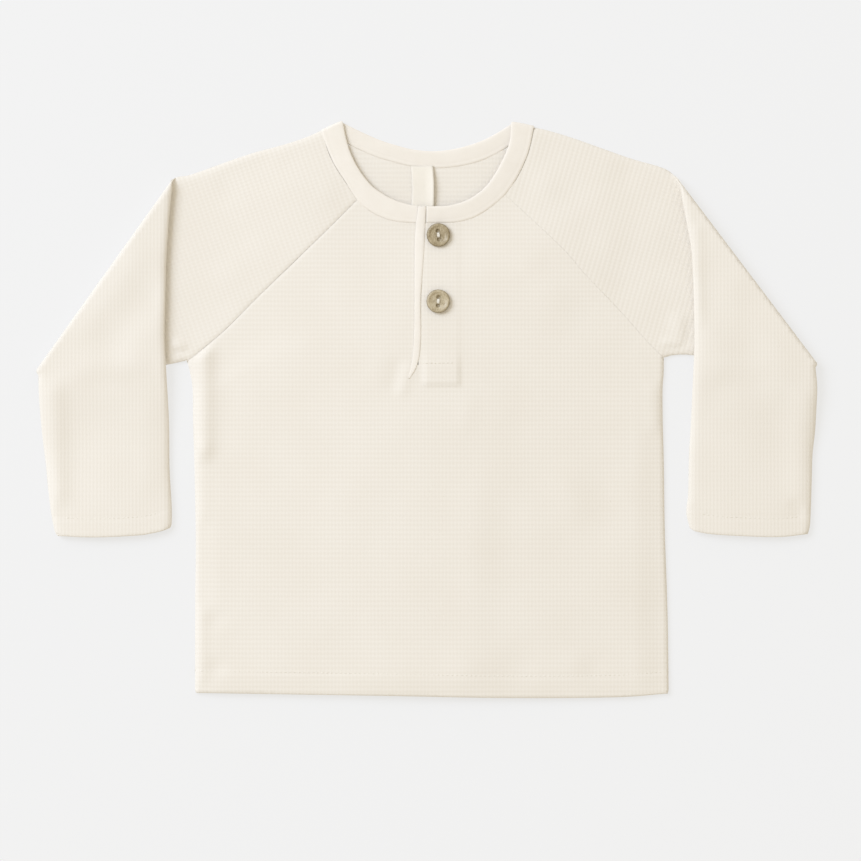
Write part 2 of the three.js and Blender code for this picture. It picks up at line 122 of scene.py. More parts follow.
# %% Creases as soft ridges
def creases(points, rows):
    """The height that a table of creases adds at each point."""
    total = np.zeros(len(points))
    for start, end, width, rise in rows:
        a, b = np.array(start, float), np.array(end, float)
        way = b - a
        t = ((points - a) @ way) / max(way @ way, 1e-9)
        length = max(np.linalg.norm(way), 1e-6)
        near = np.clip(t, 0, 1)
        side = np.linalg.norm(points - a - near[:, None] * way, axis=1)
        taper = 3.0 * width
        fade = smooth((t * length + width) / taper) * smooth(((1 - t) * length + width) / taper)
        total += rise * np.exp(-0.5 * (side / width) ** 2) * fade
    return total


RIPPLES = [(0.031, 0.012, 0.4), (0.017, -0.043, 1.9), (-0.052, 0.026, 3.1), (0.071, 0.049, 5.2),
           (0.043, -0.088, 0.9), (-0.094, -0.036, 2.4)]


def ripple(points, size):
    """A slow unevenness, as in any cloth that nobody has ironed."""
    total = np.zeros(len(points))
    for i, (fx, fy, phase) in enumerate(RIPPLES):
        total += np.sin(points[:, 0] * fx + points[:, 1] * fy + phase) / (1.5 + 0.6 * i)
    return size * total / 2.0


# %% [markdown]
# ## The knit's own grid
#
# Waffle knit has raised ribs along the cloth and raised courses across it, with square pits
# between. Here a rib comes every 1.93 mm and a course every 2.57 mm. The mesh follows the knit's
# grain, fine enough for every crease, and each point remembers its place in the knit, so that the
# material can raise ribs and courses that turn with the cloth wherever it was sewn or folded.

# %% Waffle sizes
RIB = 1.93
COURSE = 2.57
MESH = 1.5         # the mesh's step


def grain_grid(loop, degrees, step=MESH):
    """Points inside a loop on a square grid that is turned to the grain."""
    box = turned(loop, -degrees)
    low, high = box.min(axis=0), box.max(axis=0)
    i = np.arange(math.floor(low[0] / step), math.ceil(high[0] / step) + 1) * step
    j = np.arange(math.floor(low[1] / step), math.ceil(high[1] / step) + 1) * step
    columns, rows = np.meshgrid(i, j, indexing="ij")
    places = turned(np.stack([columns.ravel(), rows.ravel()], axis=1), degrees)
    return places[inside(places, loop)]


def knit_place(points, degrees, ribbed=0.0):
    """Each point's place in the knit, counted in ribs and courses, and how much the ribs lead."""
    flat = turned(points, -degrees)
    lead = np.broadcast_to(ribbed, len(flat))
    return np.stack([flat[:, 0] / RIB, flat[:, 1] / COURSE, lead], axis=1)


def cut_cloth(loop, grid, clear, edge_rows=()):
    """Triangles of a flat piece of cloth, from its outline and the knit points inside it."""
    closed = np.vstack([loop, loop[:1]])
    way = np.roll(loop, -1, axis=0) - np.roll(loop, 1, axis=0)
    way /= np.maximum(np.linalg.norm(way, axis=1), 1e-9)[:, None]
    inward = np.stack([-way[:, 1], way[:, 0]], axis=1)
    if not inside(loop[:1] + 0.05 * inward[:1], loop)[0]:
        inward = -inward
    rows = []
    for depth in edge_rows:
        row = loop + depth * inward
        row = row[inside(row, loop)]
        rows.append(row[distance(row, closed) > depth * 0.93])
    middle = grid[distance(grid, closed) > clear]
    points = np.vstack([loop, *rows, middle])
    count = len(loop)
    verts, _, faces, _, _, _ = delaunay_2d_cdt(
        [Vector(p) for p in points], [], [list(range(count))], 1, 1e-6)
    verts = np.array([tuple(v) for v in verts])
    return verts, [tuple(f) for f in faces], count


def make_piece(name, verts, faces, material, knit=None):
    """A mesh object from points in plan millimetres."""
    mesh = bpy.data.meshes.new(name)
    placed = (np.asarray(verts, float) - [MIDDLE[0], MIDDLE[1], 0]) * MM
    mesh.from_pydata(placed.tolist(), [], faces)
    if knit is not None:
        layer = mesh.attributes.new("knit", "FLOAT_VECTOR", "POINT")
        values = np.zeros((len(mesh.vertices), 3), np.float32)
        values[:, :knit.shape[1]] = knit
        layer.data.foreach_set("vector", values.ravel())
    piece = bpy.data.objects.new(name, mesh)
    bpy.context.scene.collection.objects.link(piece)
    bm = bmesh.new()
    bm.from_mesh(mesh)
    bmesh.ops.recalc_face_normals(bm, faces=bm.faces[:])
    bm.to_mesh(mesh)
    bm.free()
    mesh.shade_smooth()
    mesh.materials.append(material)
    return piece


def loft_faces(sections, around):
    """Faces of a closed skin over sections that follow each other, with a face on either end."""
    faces = []
    for s in range(sections - 1):
        for i in range(around):
            j = (i + 1) % around
            faces.append((s * around + i, s * around + j, (s + 1) * around + j, (s + 1) * around + i))
    faces.append(tuple(range(around)))
    faces.append(tuple(range((sections - 1) * around, sections * around))[::-1])
    return faces


def apply_modifier(piece, modifier):
    bpy.context.view_layer.objects.active = piece
    bpy.ops.object.modifier_apply(modifier=modifier.name)


def thicken(piece, thickness, offset):
    """Gives a single layer its thickness in millimetres."""
    thick = piece.modifiers.new("thickness", "SOLIDIFY")
    thick.thickness = thickness * MM
    thick.offset = offset
    apply_modifier(piece, thick)


# %% [markdown]
# ## Materials as arithmetic
#
# A material is worked out as a sum: ribs, courses and yarn make a height, and the height makes
# the relief and a little of the colour. Wrapping a socket in a small class lets that be written
# as ordinary arithmetic, and each sign adds the Math node for it.

# %% A socket that can be used in sums
class Wire:
    def __init__(self, shop, socket):
        self.shop = shop
        self.socket = socket

    def sum(self, operation, first, second=None):
        values = {0: first} if second is None else {0: first, 1: second}
        return self.shop.node("ShaderNodeMath", {"operation": operation}, values)[0]

    def __add__(self, other):
        return self.sum("ADD", self, other)

    def __radd__(self, other):
        return self.sum("ADD", other, self)

    def __sub__(self, other):
        return self.sum("SUBTRACT", self, other)

    def __rsub__(self, other):
        return self.sum("SUBTRACT", other, self)

    def __mul__(self, other):
        return self.sum("MULTIPLY", self, other)

    def __rmul__(self, other):
        return self.sum("MULTIPLY", other, self)

    def cos(self):
        return self.sum("COSINE", self)

    def larger(self, other):
        return self.sum("MAXIMUM", self, other)

    def smaller(self, other):
        return self.sum("MINIMUM", self, other)


class Finish:
    """One material and the nodes that make it."""

    def __init__(self, name):
        self.material = bpy.data.materials.new(name)
        self.material.use_nodes = True
        self.tree = self.material.node_tree
        self.tree.nodes.clear()

    def node(self, kind, settings=None, values=None):
        """Adds a node, sets it up, then sets or links its sockets. Gives its outputs."""
        made = self.tree.nodes.new(kind)
        for key, value in (settings or {}).items():
            if key == "stops":
                ramp = made.color_ramp
                while len(ramp.elements) < len(value):
                    ramp.elements.new(0.5)
                for element, (place, colour) in zip(ramp.elements, value):
                    element.position = place
                    element.color = (*colour, 1)
            else:
                setattr(made, key, value)
        for key, value in (values or {}).items():
            if isinstance(value, Wire):
                self.tree.links.new(value.socket, made.inputs[key])
            else:
                made.inputs[key].default_value = value
        return [Wire(self, s) for s in made.outputs]

    def noise(self, where, scale, detail=2.0, roughness=0.5):
        values = {"Vector": where, "Scale": scale, "Detail": detail, "Roughness": roughness}
        return self.node("ShaderNodeTexNoise", None, values)[0]

    def mix(self, amount, a, b):
        """Colour between a and b."""
        values = {0: amount, 6: a, 7: b}
        return self.node("ShaderNodeMix", {"data_type": "RGBA"}, values)[2]

    def bump(self, height, depth):
        values = {"Height": height, "Distance": depth, "Strength": 1.0}
        return self.node("ShaderNodeBump", None, values)[0]

    def done(self, **sockets):
        values = {key.replace("_", " "): value for key, value in sockets.items()}
        shader = self.node("ShaderNodeBsdfPrincipled", None, values)[0]
        self.node("ShaderNodeOutputMaterial", None, {"Surface": shader})
        return self.material


# %% [markdown]
# ## Waffle knit
#
# On the real shirt this is undyed cotton, cream and matt, with a slight bloom from loose fibres. The material
# makes a height from the knit's own grid so that the ribs catch the light, and it also darkens the pits a
# little in its colour: a painted shade where less light gets in.

# %% Waffle knit material
CREAM = (0.800, 0.751, 0.672)
# the darker colour put into the knit's pits, a painted shade
CREAM_PIT_SHADE = (0.700, 0.634, 0.535)
CREAM_PALE = (0.835, 0.794, 0.725)


FULL_TURN = 2 * math.pi


def waffle_knit():
    cloth = Finish("waffle_knit")
    knit = cloth.node("ShaderNodeAttribute", {"attribute_name": "knit"})[1]
    place = cloth.node("ShaderNodeSeparateXYZ", None, {0: knit})
    where = cloth.node("ShaderNodeTexCoord")[3]
    sway = cloth.noise(where, 60.0, 2.0, 0.5) * 1.1
    ribs = (place[0] * FULL_TURN + sway).cos()
    courses = (place[1] * FULL_TURN + sway).cos()
    lead = place[2]
    yarn = cloth.noise(knit, 2.3, 3.0, 0.6)
    fibre = cloth.noise(where, 2600.0, 2.0, 0.6)
    relief = ribs * (lead * 0.2 + 1.0) + courses * (1.5 - lead * 0.95)
    # painted shade: the pits between ribs and courses are darkened in colour, where less light gets in
    pit_shade = ((0.9 - relief) * 0.4).larger(0.0).smaller(1.0)
    height = relief * 0.5 + yarn * 0.9 + fibre * 0.4
    patches = cloth.noise(where, 34.0, 2.0, 0.5)
    tone = cloth.mix(patches, CREAM_PALE + (1,), CREAM + (1,))
    colour = cloth.mix(pit_shade * 0.16, tone, CREAM_PIT_SHADE + (1,))
    return cloth.done(Base_Color=colour, Roughness=0.92, Sheen_Weight=0.12, Sheen_Roughness=0.6,
                      Specular_IOR_Level=0.15, Normal=cloth.bump(height, 0.00004))


WAFFLE = waffle_knit()

# %% [markdown]
# ## Jersey, tape and thread
#
# The neckband and the strip down the opening are smooth jersey: fine columns of stitches, far
# smaller than the waffle. The label is a satin tape, left bare, and the sewing thread is a
# twisted cotton. Each has the same kind of sum, with its own scale.

# %% Smooth cotton materials
JERSEY_PALE = (0.868, 0.820, 0.748)
JERSEY_CREAM = (0.828, 0.775, 0.695)
JERSEY_COLUMN = 0.55    # millimetres from one column of stitches to the next
JERSEY_LOOP = 0.42      # and from one row of loops to the next
TAPE_PALE = (0.897, 0.848, 0.757)
TAPE_CREAM = (0.857, 0.805, 0.71)
TAPE_WEFT = 0.00032     # metres between the tape's cross threads
TAPE_WARP = 0.00025     # and between its long threads
THREAD_PALE = (0.86, 0.83, 0.755)
THREAD_DEEP = (0.76, 0.72, 0.63)


def jersey():
    cloth = Finish("neck_jersey")
    knit = cloth.node("ShaderNodeAttribute", {"attribute_name": "knit"})[1]
    place = cloth.node("ShaderNodeSeparateXYZ", None, {0: knit})
    where = cloth.node("ShaderNodeTexCoord")[3]
    columns = (place[0] * (FULL_TURN / JERSEY_COLUMN)).cos()
    loops = (place[1] * (FULL_TURN / JERSEY_LOOP)).cos()
    fibre = cloth.noise(where, 2200.0, 3.0, 0.6)
    slub = cloth.noise(where, 180.0, 2.0, 0.5)
    height = columns * 0.16 + loops * columns * 0.1 + fibre * 0.35 + slub * 0.7
    colour = cloth.mix(slub, JERSEY_PALE + (1,), JERSEY_CREAM + (1,))
    return cloth.done(Base_Color=colour, Roughness=0.88, Sheen_Weight=0.15, Sheen_Roughness=0.5,
                      Specular_IOR_Level=0.2, Normal=cloth.bump(height, 0.00009))


def label_tape():
    cloth = Finish("label_tape")
    where = cloth.node("ShaderNodeTexCoord")[3]
    place = cloth.node("ShaderNodeSeparateXYZ", None, {0: where})
    weft = (place[1] * (FULL_TURN / TAPE_WEFT)).cos()
    warp = (place[0] * (FULL_TURN / TAPE_WARP)).cos()
    slub = cloth.noise(where, 900.0, 2.0, 0.5)
    colour = cloth.mix(slub * 0.6, TAPE_PALE + (1,), TAPE_CREAM + (1,))
    return cloth.done(Base_Color=colour, Roughness=0.55, Sheen_Weight=0.1,
                      Specular_IOR_Level=0.35, Normal=cloth.bump(weft * 0.5 + warp * 0.4 + slub, 0.00004))


def sewing_thread():
    cotton = Finish("sewing_thread")
    where = cotton.node("ShaderNodeTexCoord")[3]
    twist = cotton.noise(where, 1800.0, 2.0, 0.5)
    colour = cotton.mix(twist, THREAD_PALE + (1,), THREAD_DEEP + (1,))
    return cotton.done(Base_Color=colour, Roughness=0.8, Specular_IOR_Level=0.25,
                       Normal=cotton.bump(twist, 0.0001))


JERSEY = jersey()
TAPE = label_tape()
THREAD = sewing_thread()

# %% [markdown]
# ## Button shell
#
# The buttons are khaki-brown and mottled, with fine dark flecks, as in pressed coconut shell. The rim's outer
# side, and a little the dished middle, are darkened in colour: painted shade. They are satin: polished once
# and then worn.

# %% Button material
def button_shell(name, paler):
    shell = Finish(name)
    where = shell.node("ShaderNodeTexCoord")[3]
    clouds = shell.noise(where, 420.0, 4.0, 0.62)
    stretched = shell.node("ShaderNodeMapping", None, {0: where, 3: (3.2, 0.8, 1.0)})[0]
    grain = shell.noise(stretched, 900.0, 3.0, 0.6)
    flecks = shell.noise(where, 2300.0, 2.0, 0.5)
    stops = [(0.30, (0.175, 0.125, 0.065)), (0.44, (0.350, 0.280, 0.165)), (0.60, (0.520, 0.440, 0.295)),
             (0.8, (0.64, 0.57, 0.42))]
    tone = shell.node("ShaderNodeValToRGB", {"stops": stops}, {0: clouds * 0.55 + grain * 0.45 + paler})[0]
    dark = (flecks - 0.58).larger(0.0) * 5.0
    turned_out = shell.node("ShaderNodeAttribute", {"attribute_name": "ring"})[2]
    # painted shade: the rim's outer side and the dished middle are darkened in colour
    rim = ((turned_out - 0.9) * 9.0).larger(0.0).smaller(1.0)
    middle = ((0.5 - turned_out) * 3.0).larger(0.0).smaller(1.0)
    rim_shaded_tone = shell.mix((rim * 0.75).larger(middle * 0.22), tone, (0.13, 0.095, 0.05, 1))
    colour = shell.mix(dark.smaller(0.8), rim_shaded_tone, (0.115, 0.08, 0.04, 1))
    return shell.done(Base_Color=colour, Roughness=0.42, Specular_IOR_Level=0.45, Coat_Weight=0.12,
                      Coat_Roughness=0.35, Normal=shell.bump(grain + flecks * 0.4, 0.00006))


SHELLS = {
    "button_top": button_shell("button_shell", 0.0),
    "button_bottom": button_shell("button_shell_pale", 0.09),
}

# %% [markdown]
# ## The chalked plan
#
# These are the shirt's real outlines in millimetres: the side seams, the hem, the slanting raglan
# seams and the neckband's two edges. The left of the plan is the wearer's right. Nothing is
# quite symmetrical, because a laid shirt never is.

# %% Body outlines
HEM = [(-125.2, -153.6), (-80, -154.3), (-20, -155.2), (40, -156.3), (100, -156.0), (129.8, -154.0)]
SIDE_LEFT = [(-125.6, -152), (-125.5, -103), (-125.2, -71), (-125.9, -32), (-126.7, -6), (-126.9, 10),
             (-128.2, 19), (-129.9, 25.5)]
SIDE_RIGHT = [(130.3, -152), (129.9, -120), (129.3, -97), (128.2, -65), (127.7, -30), (127.1, -6),
              (127.0, 10), (127.6, 19), (127.7, 27)]
RAGLAN_LEFT = [(-129.9, 25.5), (-123.4, 30.5), (-108.8, 42.9), (-93.2, 58.6), (-74.8, 76.4),
               (-55.6, 95.0), (-38.1, 112.6)]
RAGLAN_RIGHT = [(127.7, 27.0), (118.0, 37.0), (106.8, 49.6), (95.3, 61.8), (84.4, 73.2),
                (73.2, 86.1), (53.2, 105.0), (41.9, 115.3)]
BACK_RAGLAN_LEFT = [(-129.9, 25.5), (-114.6, 50), (-93.4, 80), (-69.6, 110), (-41.9, 142.3)]
BACK_RAGLAN_RIGHT = [(127.7, 27.0), (112.4, 50), (92.4, 80), (69.4, 110), (40.8, 139.6)]

# %% Neckband edges, seam side and free side, at matching points
BAND_LEFT = {
    "seam": [(-4.9, 100.0), (-14.9, 100.7), (-22.4, 102.3), (-30.5, 106.1), (-38.1, 112.6), (-45.1, 123.4),
             (-50.5, 132.0), (-54.3, 140.7), (-57.0, 149.0)],
    "free": [(-4.9, 109.2), (-11.6, 110.5), (-18.6, 112.9), (-25.0, 116.4), (-30.5, 120.7), (-36.5, 128.3),
             (-41.3, 137.4), (-44.0, 146.1), (-45.6, 154.2)],
}
BAND_BACK = {
    "seam": [(-57.0, 149.0), (-41.9, 142.3), (-30.5, 137.0), (-20.3, 133.7), (-9.5, 131.0), (1.4, 129.9),
             (10.5, 130.1), (20.3, 131.5), (30.5, 134.4), (40.8, 139.6), (57.4, 151.2)],
    "free": [(-45.6, 154.2), (-35.4, 149.3), (-25.5, 145.0), (-17.0, 142.3), (-8.4, 140.1), (1.4, 139.1),
             (10.0, 139.6), (18.6, 141.2), (27.5, 144.0), (35.4, 147.7), (45.1, 153.6)],
}
BAND_RIGHT = {
    "seam": [(57.4, 151.2), (55.4, 141.5), (53.2, 134.7), (48.3, 124.5), (41.9, 115.3), (33.8, 108.3),
             (25.7, 103.4), (17.6, 100.9), (10.0, 100.2), (-0.8, 100.1)],
    "free": [(45.1, 153.6), (44.6, 145.8), (42.9, 139.6), (38.6, 130.4), (32.7, 121.2), (26.2, 115.3),
             (19.7, 111.8), (13.2, 109.9), (7.8, 109.3), (-0.5, 109.1)],
}

# %% Heights above the table
WALL = 1.15           # one layer of waffle knit
FRONT_FLOOR = 1.6     # the front panel's underside at its seams
DOME = 3.4            # how far air lifts the cloth in the middle of the body
SLIT = (-5.6, -4.9)   # the opening between the front edges, left and right
SLIT_END = 23.0
SIDE_UNDER = 1.32     # the front's underside where it meets the side seam
BACK_INSIDE = 1.25    # the back's upper face

# %% [markdown]
# ## Front of the body
#
# One piece of waffle, scooped at the neck, opened down the middle and turned up at the hem. Air
# stays under it, so it domes a little and falls to its seams. Its outline is cut from the knit
# grid like cloth from a bolt, then lifted by a height that adds the dome, the seams' grooves, the
# doubled hem and the creases of the real one.

# %% Front panel height
FRONT_CREASES = [
    # from, to, width, rise
    ((-120.8, 36), (-120.8, -28), 3.8, 2.00),
    ((-121.0, -16), (-121.6, -62), 3.6, 0.70),
    ((-109.5, 34), (-110.0, -24), 6.5, -0.40),
    ((-122.4, -106), (-122.2, -150), 3.0, 0.70),
    ((-113.5, -108), (-114.0, -119), 3.6, -0.60),
    ((-113.5, -134), (-114.0, -146), 3.6, -0.70),
    ((72.0, -30), (82.0, -64), 6.5, 0.45),
    ((93.0, -32), (100.0, -68), 7.0, -0.45),
    ((104.0, -70), (100.0, -100), 7.0, 0.30),
    ((26.0, -34), (25.0, -128), 7.0, 0.36),
    ((42.0, -40), (40.0, -124), 8.0, -0.26),
    ((20.0, -126), (24.0, -152), 8.0, 0.80),
    ((48.0, -126), (50.0, -152), 8.0, -0.60),
    ((-92.0, -128), (-84.0, -148), 13.0, 0.50),
    ((-52.0, -128), (-36.0, -146), 12.0, -0.65),
    ((-8.0, -134), (-10.0, -150), 9.0, 0.30),
    ((77.0, -132), (79.0, -144), 5.0, 0.35),
    ((89.0, -134), (92.0, -147), 5.0, -0.45),
    ((-15.0, 28), (-19.5, 8), 2.8, -0.34),
    ((-9.6, 24), (-15.0, 6), 2.3, 0.52),
    ((-24.0, 32), (-29.0, 12), 4.0, 0.22),
    ((22.5, 8), (20.0, -14), 4.0, 0.25),
    ((-92.0, 44), (-70.0, 12), 9.0, 0.32),
    ((58.0, 70), (78.0, 56), 6.5, 0.35),
    ((76.0, 58), (94.0, 42), 7.0, -0.40),
    ((48.0, 82), (60.0, 72), 6.0, 0.25),
    ((121.0, 14), (122.6, -14), 3.4, 0.55),
    ((-30.0, -30), (-52.0, -78), 11.0, 0.30),
]
UNDERLAP = {"left": -1.6, "right": 17.2, "bottom": 12.6, "top": 99.0}
PRINT_RISE = 0.85     # how far the underlap's end lifts the cloth


def underlap_print(points):
    """How far the hidden end of the placket lifts the cloth that lies on it."""
    x, y = points[:, 0], points[:, 1]
    across = smooth((x - UNDERLAP["left"] + 1.0) / 1.6) * smooth((UNDERLAP["right"] + 1.0 - x) / 2.0)
    low = smooth((y - UNDERLAP["bottom"] + 1.0) / 2.0)
    strong = 0.25 + 0.75 * smooth((34.0 - y) / 14.0)
    return PRINT_RISE * across * low * strong


def edge_round(depth, radius):
    """How far a rounded edge has fallen at this depth inside it."""
    near = np.clip(depth, 0, radius)
    return radius - np.sqrt(np.maximum(radius ** 2 - (radius - near) ** 2, 0))


def air(points):
    """How far air lifts the front: most in the middle, falling to the sides and the folds."""
    x, y = np.abs(points[:, 0]), points[:, 1]
    yoke = smooth((y - 8.0) / 34.0)
    across = smooth((128.0 + 10.0 * yoke - x) / (17.0 + 63.0 * yoke)) * (1 - 0.62 * smooth(x / 118.0))
    shoulder = smooth((151.0 - 0.34 * np.clip(x - 57.0, 0, None) - y) / 30.0)
    low = smooth((distance(points, HEM_LINE) + 22.0) / 36.0)
    neck = nearest(points, *NECKS)
    return DOME * across * shoulder * low * (0.35 + 0.65 * smooth(neck / 40.0))


def seam_dip(points, seam):
    """The dip of a raglan seam, which is pulled in more on the wearer's right."""
    deep = np.where(points[:, 0] < 0, 0.30, 0.02)
    return deep * np.exp(-(seam / 0.6) ** 2)


HEM_LINE = ruler(HEM, 3.0)
SIDES = [ruler(SIDE_LEFT, 3.0), ruler(SIDE_RIGHT, 3.0)]
RAGLANS = [ruler(RAGLAN_LEFT, 3.0), ruler(RAGLAN_RIGHT, 3.0)]
NECKS = [ruler(BAND_LEFT["seam"], 4.0), ruler(BAND_RIGHT["seam"], 4.0)]
HEM_DEPTH = 12.0


def front_height(points, detail=True):
    """Height of the front panel's upper face."""
    side = nearest(points, *SIDES)
    raglan = nearest(points, *RAGLANS)
    hem = distance(points, HEM_LINE)
    edge = np.minimum(side, raglan)
    height = FRONT_FLOOR + WALL + air(points)
    height += creases(points, FRONT_CREASES) * smooth(edge / 3.5) + underlap_print(points)
    height += ripple(points, 0.26) * smooth(edge / 20.0)
    if not detail:
        return height
    height -= edge_round(side, 1.5) * 0.8 + 0.5 * np.exp(-(side / 1.2) ** 2)
    height -= seam_dip(points, raglan)
    height += 0.22 * smooth((HEM_DEPTH + 0.6 - hem) / 1.4) - 0.2 * np.exp(-((hem - HEM_DEPTH) / 0.8) ** 2)
    height -= edge_round(hem, 1.2) * 0.9
    return height


# %% Front panel piece
def open_slit(height):
    """The neck scoop's edge with the opening cut into it, from right to left."""
    left, right = SLIT
    down = np.arange(height - 1.2, SLIT_END, -1.2)
    right_edge = np.stack([np.full(len(down), right), down], axis=1)
    left_edge = np.stack([np.full(len(down), left), down[::-1]], axis=1)
    across = np.stack([np.linspace(right, left, 5), np.full(5, SLIT_END)], axis=1)
    return np.vstack([right_edge, across, left_edge])


def join_lines(*lines):
    """One closed loop from lines that follow each other, without doubled corners."""
    loop = np.vstack(lines)
    gap = np.linalg.norm(loop - np.roll(loop, 1, axis=0), axis=1)
    return loop[gap > 0.25]


EDGE_STEP = 0.8 * MESH


def front_outline():
    neck_right = ruler(BAND_RIGHT["seam"][4:], EDGE_STEP)
    neck_right = neck_right[neck_right[:, 0] > SLIT[1] + 0.3]
    neck_left = ruler(BAND_LEFT["seam"][:5], EDGE_STEP)
    neck_left = neck_left[neck_left[:, 0] < SLIT[0] - 0.3]
    top = np.array([[SLIT[1], 100.0]])
    return join_lines(
        ruler(HEM, EDGE_STEP), ruler(SIDE_RIGHT, EDGE_STEP), ruler(RAGLAN_RIGHT, EDGE_STEP),
        neck_right, top, open_slit(100.0), [[SLIT[0], 100.0]], neck_left,
        ruler(RAGLAN_LEFT, EDGE_STEP)[::-1], ruler(SIDE_LEFT, EDGE_STEP)[::-1])


CUT_ANGLE = math.radians(55)


def shell_from(loop, upper, lower, fine_below=False):
    """A closed shell: a fine mesh on the face that shows, a coarse one on the hidden face."""
    fine = cut_cloth(loop, grain_grid(loop, 0.0), 0.7, (0.35, 0.9))
    coarse = cut_cloth(loop, grain_grid(loop, 0.0, 4 * MESH), 2.5)
    top, under = (coarse, fine) if fine_below else (fine, coarse)
    top_points = np.column_stack([top[0], upper(top[0])])
    under_points = np.column_stack([under[0], lower(under[0])])
    shift = len(top_points)
    faces = list(top[1]) + [tuple(i + shift for i in f[::-1]) for f in under[1]]
    count = top[2]
    for i in range(count):
        j = (i + 1) % count
        faces.append((i, j, j + shift, i + shift))
    verts = np.vstack([top_points, under_points])
    return verts, faces


def front_panel():
    loop = front_outline()

    def lower(points):
        side = nearest(points, *SIDES)
        height = front_height(points, detail=False) - WALL
        return np.where(side < 0.4, SIDE_UNDER, np.minimum(height, front_height(points) - 0.35))

    verts, faces = shell_from(loop, front_height, lower)
    piece = make_piece("front_body", verts, faces, WAFFLE, knit_place(verts[:, :2], 0.0))
    piece.data.set_sharp_from_angle(angle=CUT_ANGLE)
    print("front panel", len(piece.data.polygons), "faces")
    return piece


front_body = front_panel()
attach(front_body, "root")
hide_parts("front_panel")

# %% [markdown]
# ## Back of the body
#
# The same cloth, cut higher at the neck and with no opening. Its outside lies on the table, so it
# is flat there apart from the waffle, and its edges turn up to meet the front's side seams. Its
# inside shows in the neck opening.

# %% Back panel piece
BACK_CREASES = [
    # from, to, width, rise off the table
    ((-96, 30), (-70, -34), 8.0, 0.34),
    ((84, 36), (64, -20), 9.0, 0.30),
    ((-34, -52), (-20, -132), 10.0, 0.36),
    ((40, -70), (58, -140), 8.0, 0.28),
    ((-18, 112), (22, 104), 7.0, 0.30),
    ((104, -96), (112, -142), 6.0, 0.24),
    ((-108, -84), (-114, -128), 6.0, 0.30),
]
BACK_SEAMS = [ruler(BACK_RAGLAN_LEFT, 3.0), ruler(BACK_RAGLAN_RIGHT, 3.0)]


def back_panel():
    neck = ruler(BAND_BACK["seam"][1:-1], EDGE_STEP)
    loop = join_lines(
        ruler(HEM, EDGE_STEP), ruler(SIDE_RIGHT, EDGE_STEP), ruler(BACK_RAGLAN_RIGHT, EDGE_STEP),
        neck[::-1], ruler(BACK_RAGLAN_LEFT, EDGE_STEP)[::-1], ruler(SIDE_LEFT, EDGE_STEP)[::-1])

    def lower(points):
        side = nearest(points, *SIDES)
        seams = nearest(points, *BACK_SEAMS)
        hem = distance(points, HEM_LINE)
        height = edge_round(side, 1.3) + edge_round(seams, 0.7) + edge_round(hem, 0.8)
        height += creases(points, BACK_CREASES) * smooth(np.minimum(side, seams) / 6.0)
        return height + 0.3 * np.exp(-((hem - HEM_DEPTH) / 0.8) ** 2)

    def upper(points):
        return np.full(len(points), BACK_INSIDE)

    verts, faces = shell_from(loop, upper, lower, fine_below=True)
    piece = make_piece("back_body", verts, faces, WAFFLE, knit_place(verts[:, :2], 0.0))
    piece.data.set_sharp_from_angle(angle=CUT_ANGLE)
    print("back panel", len(piece.data.polygons), "faces")
    return piece


back_body = back_panel()
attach(back_body, "root")
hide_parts("back_panel")

# %% [markdown]
# ## Sleeves
#
# Each sleeve is one piece sewn into a tube and pressed flat, then turned over along a slanting
# fold so that its cuff points at the hem. It is drawn here as it would lie unfolded. Each layer is
# cut from a knit grid set along the sleeve, lifted into a flattened tube, and rolled round the
# fold's axis: what lies past the fold comes back on top, upside down.

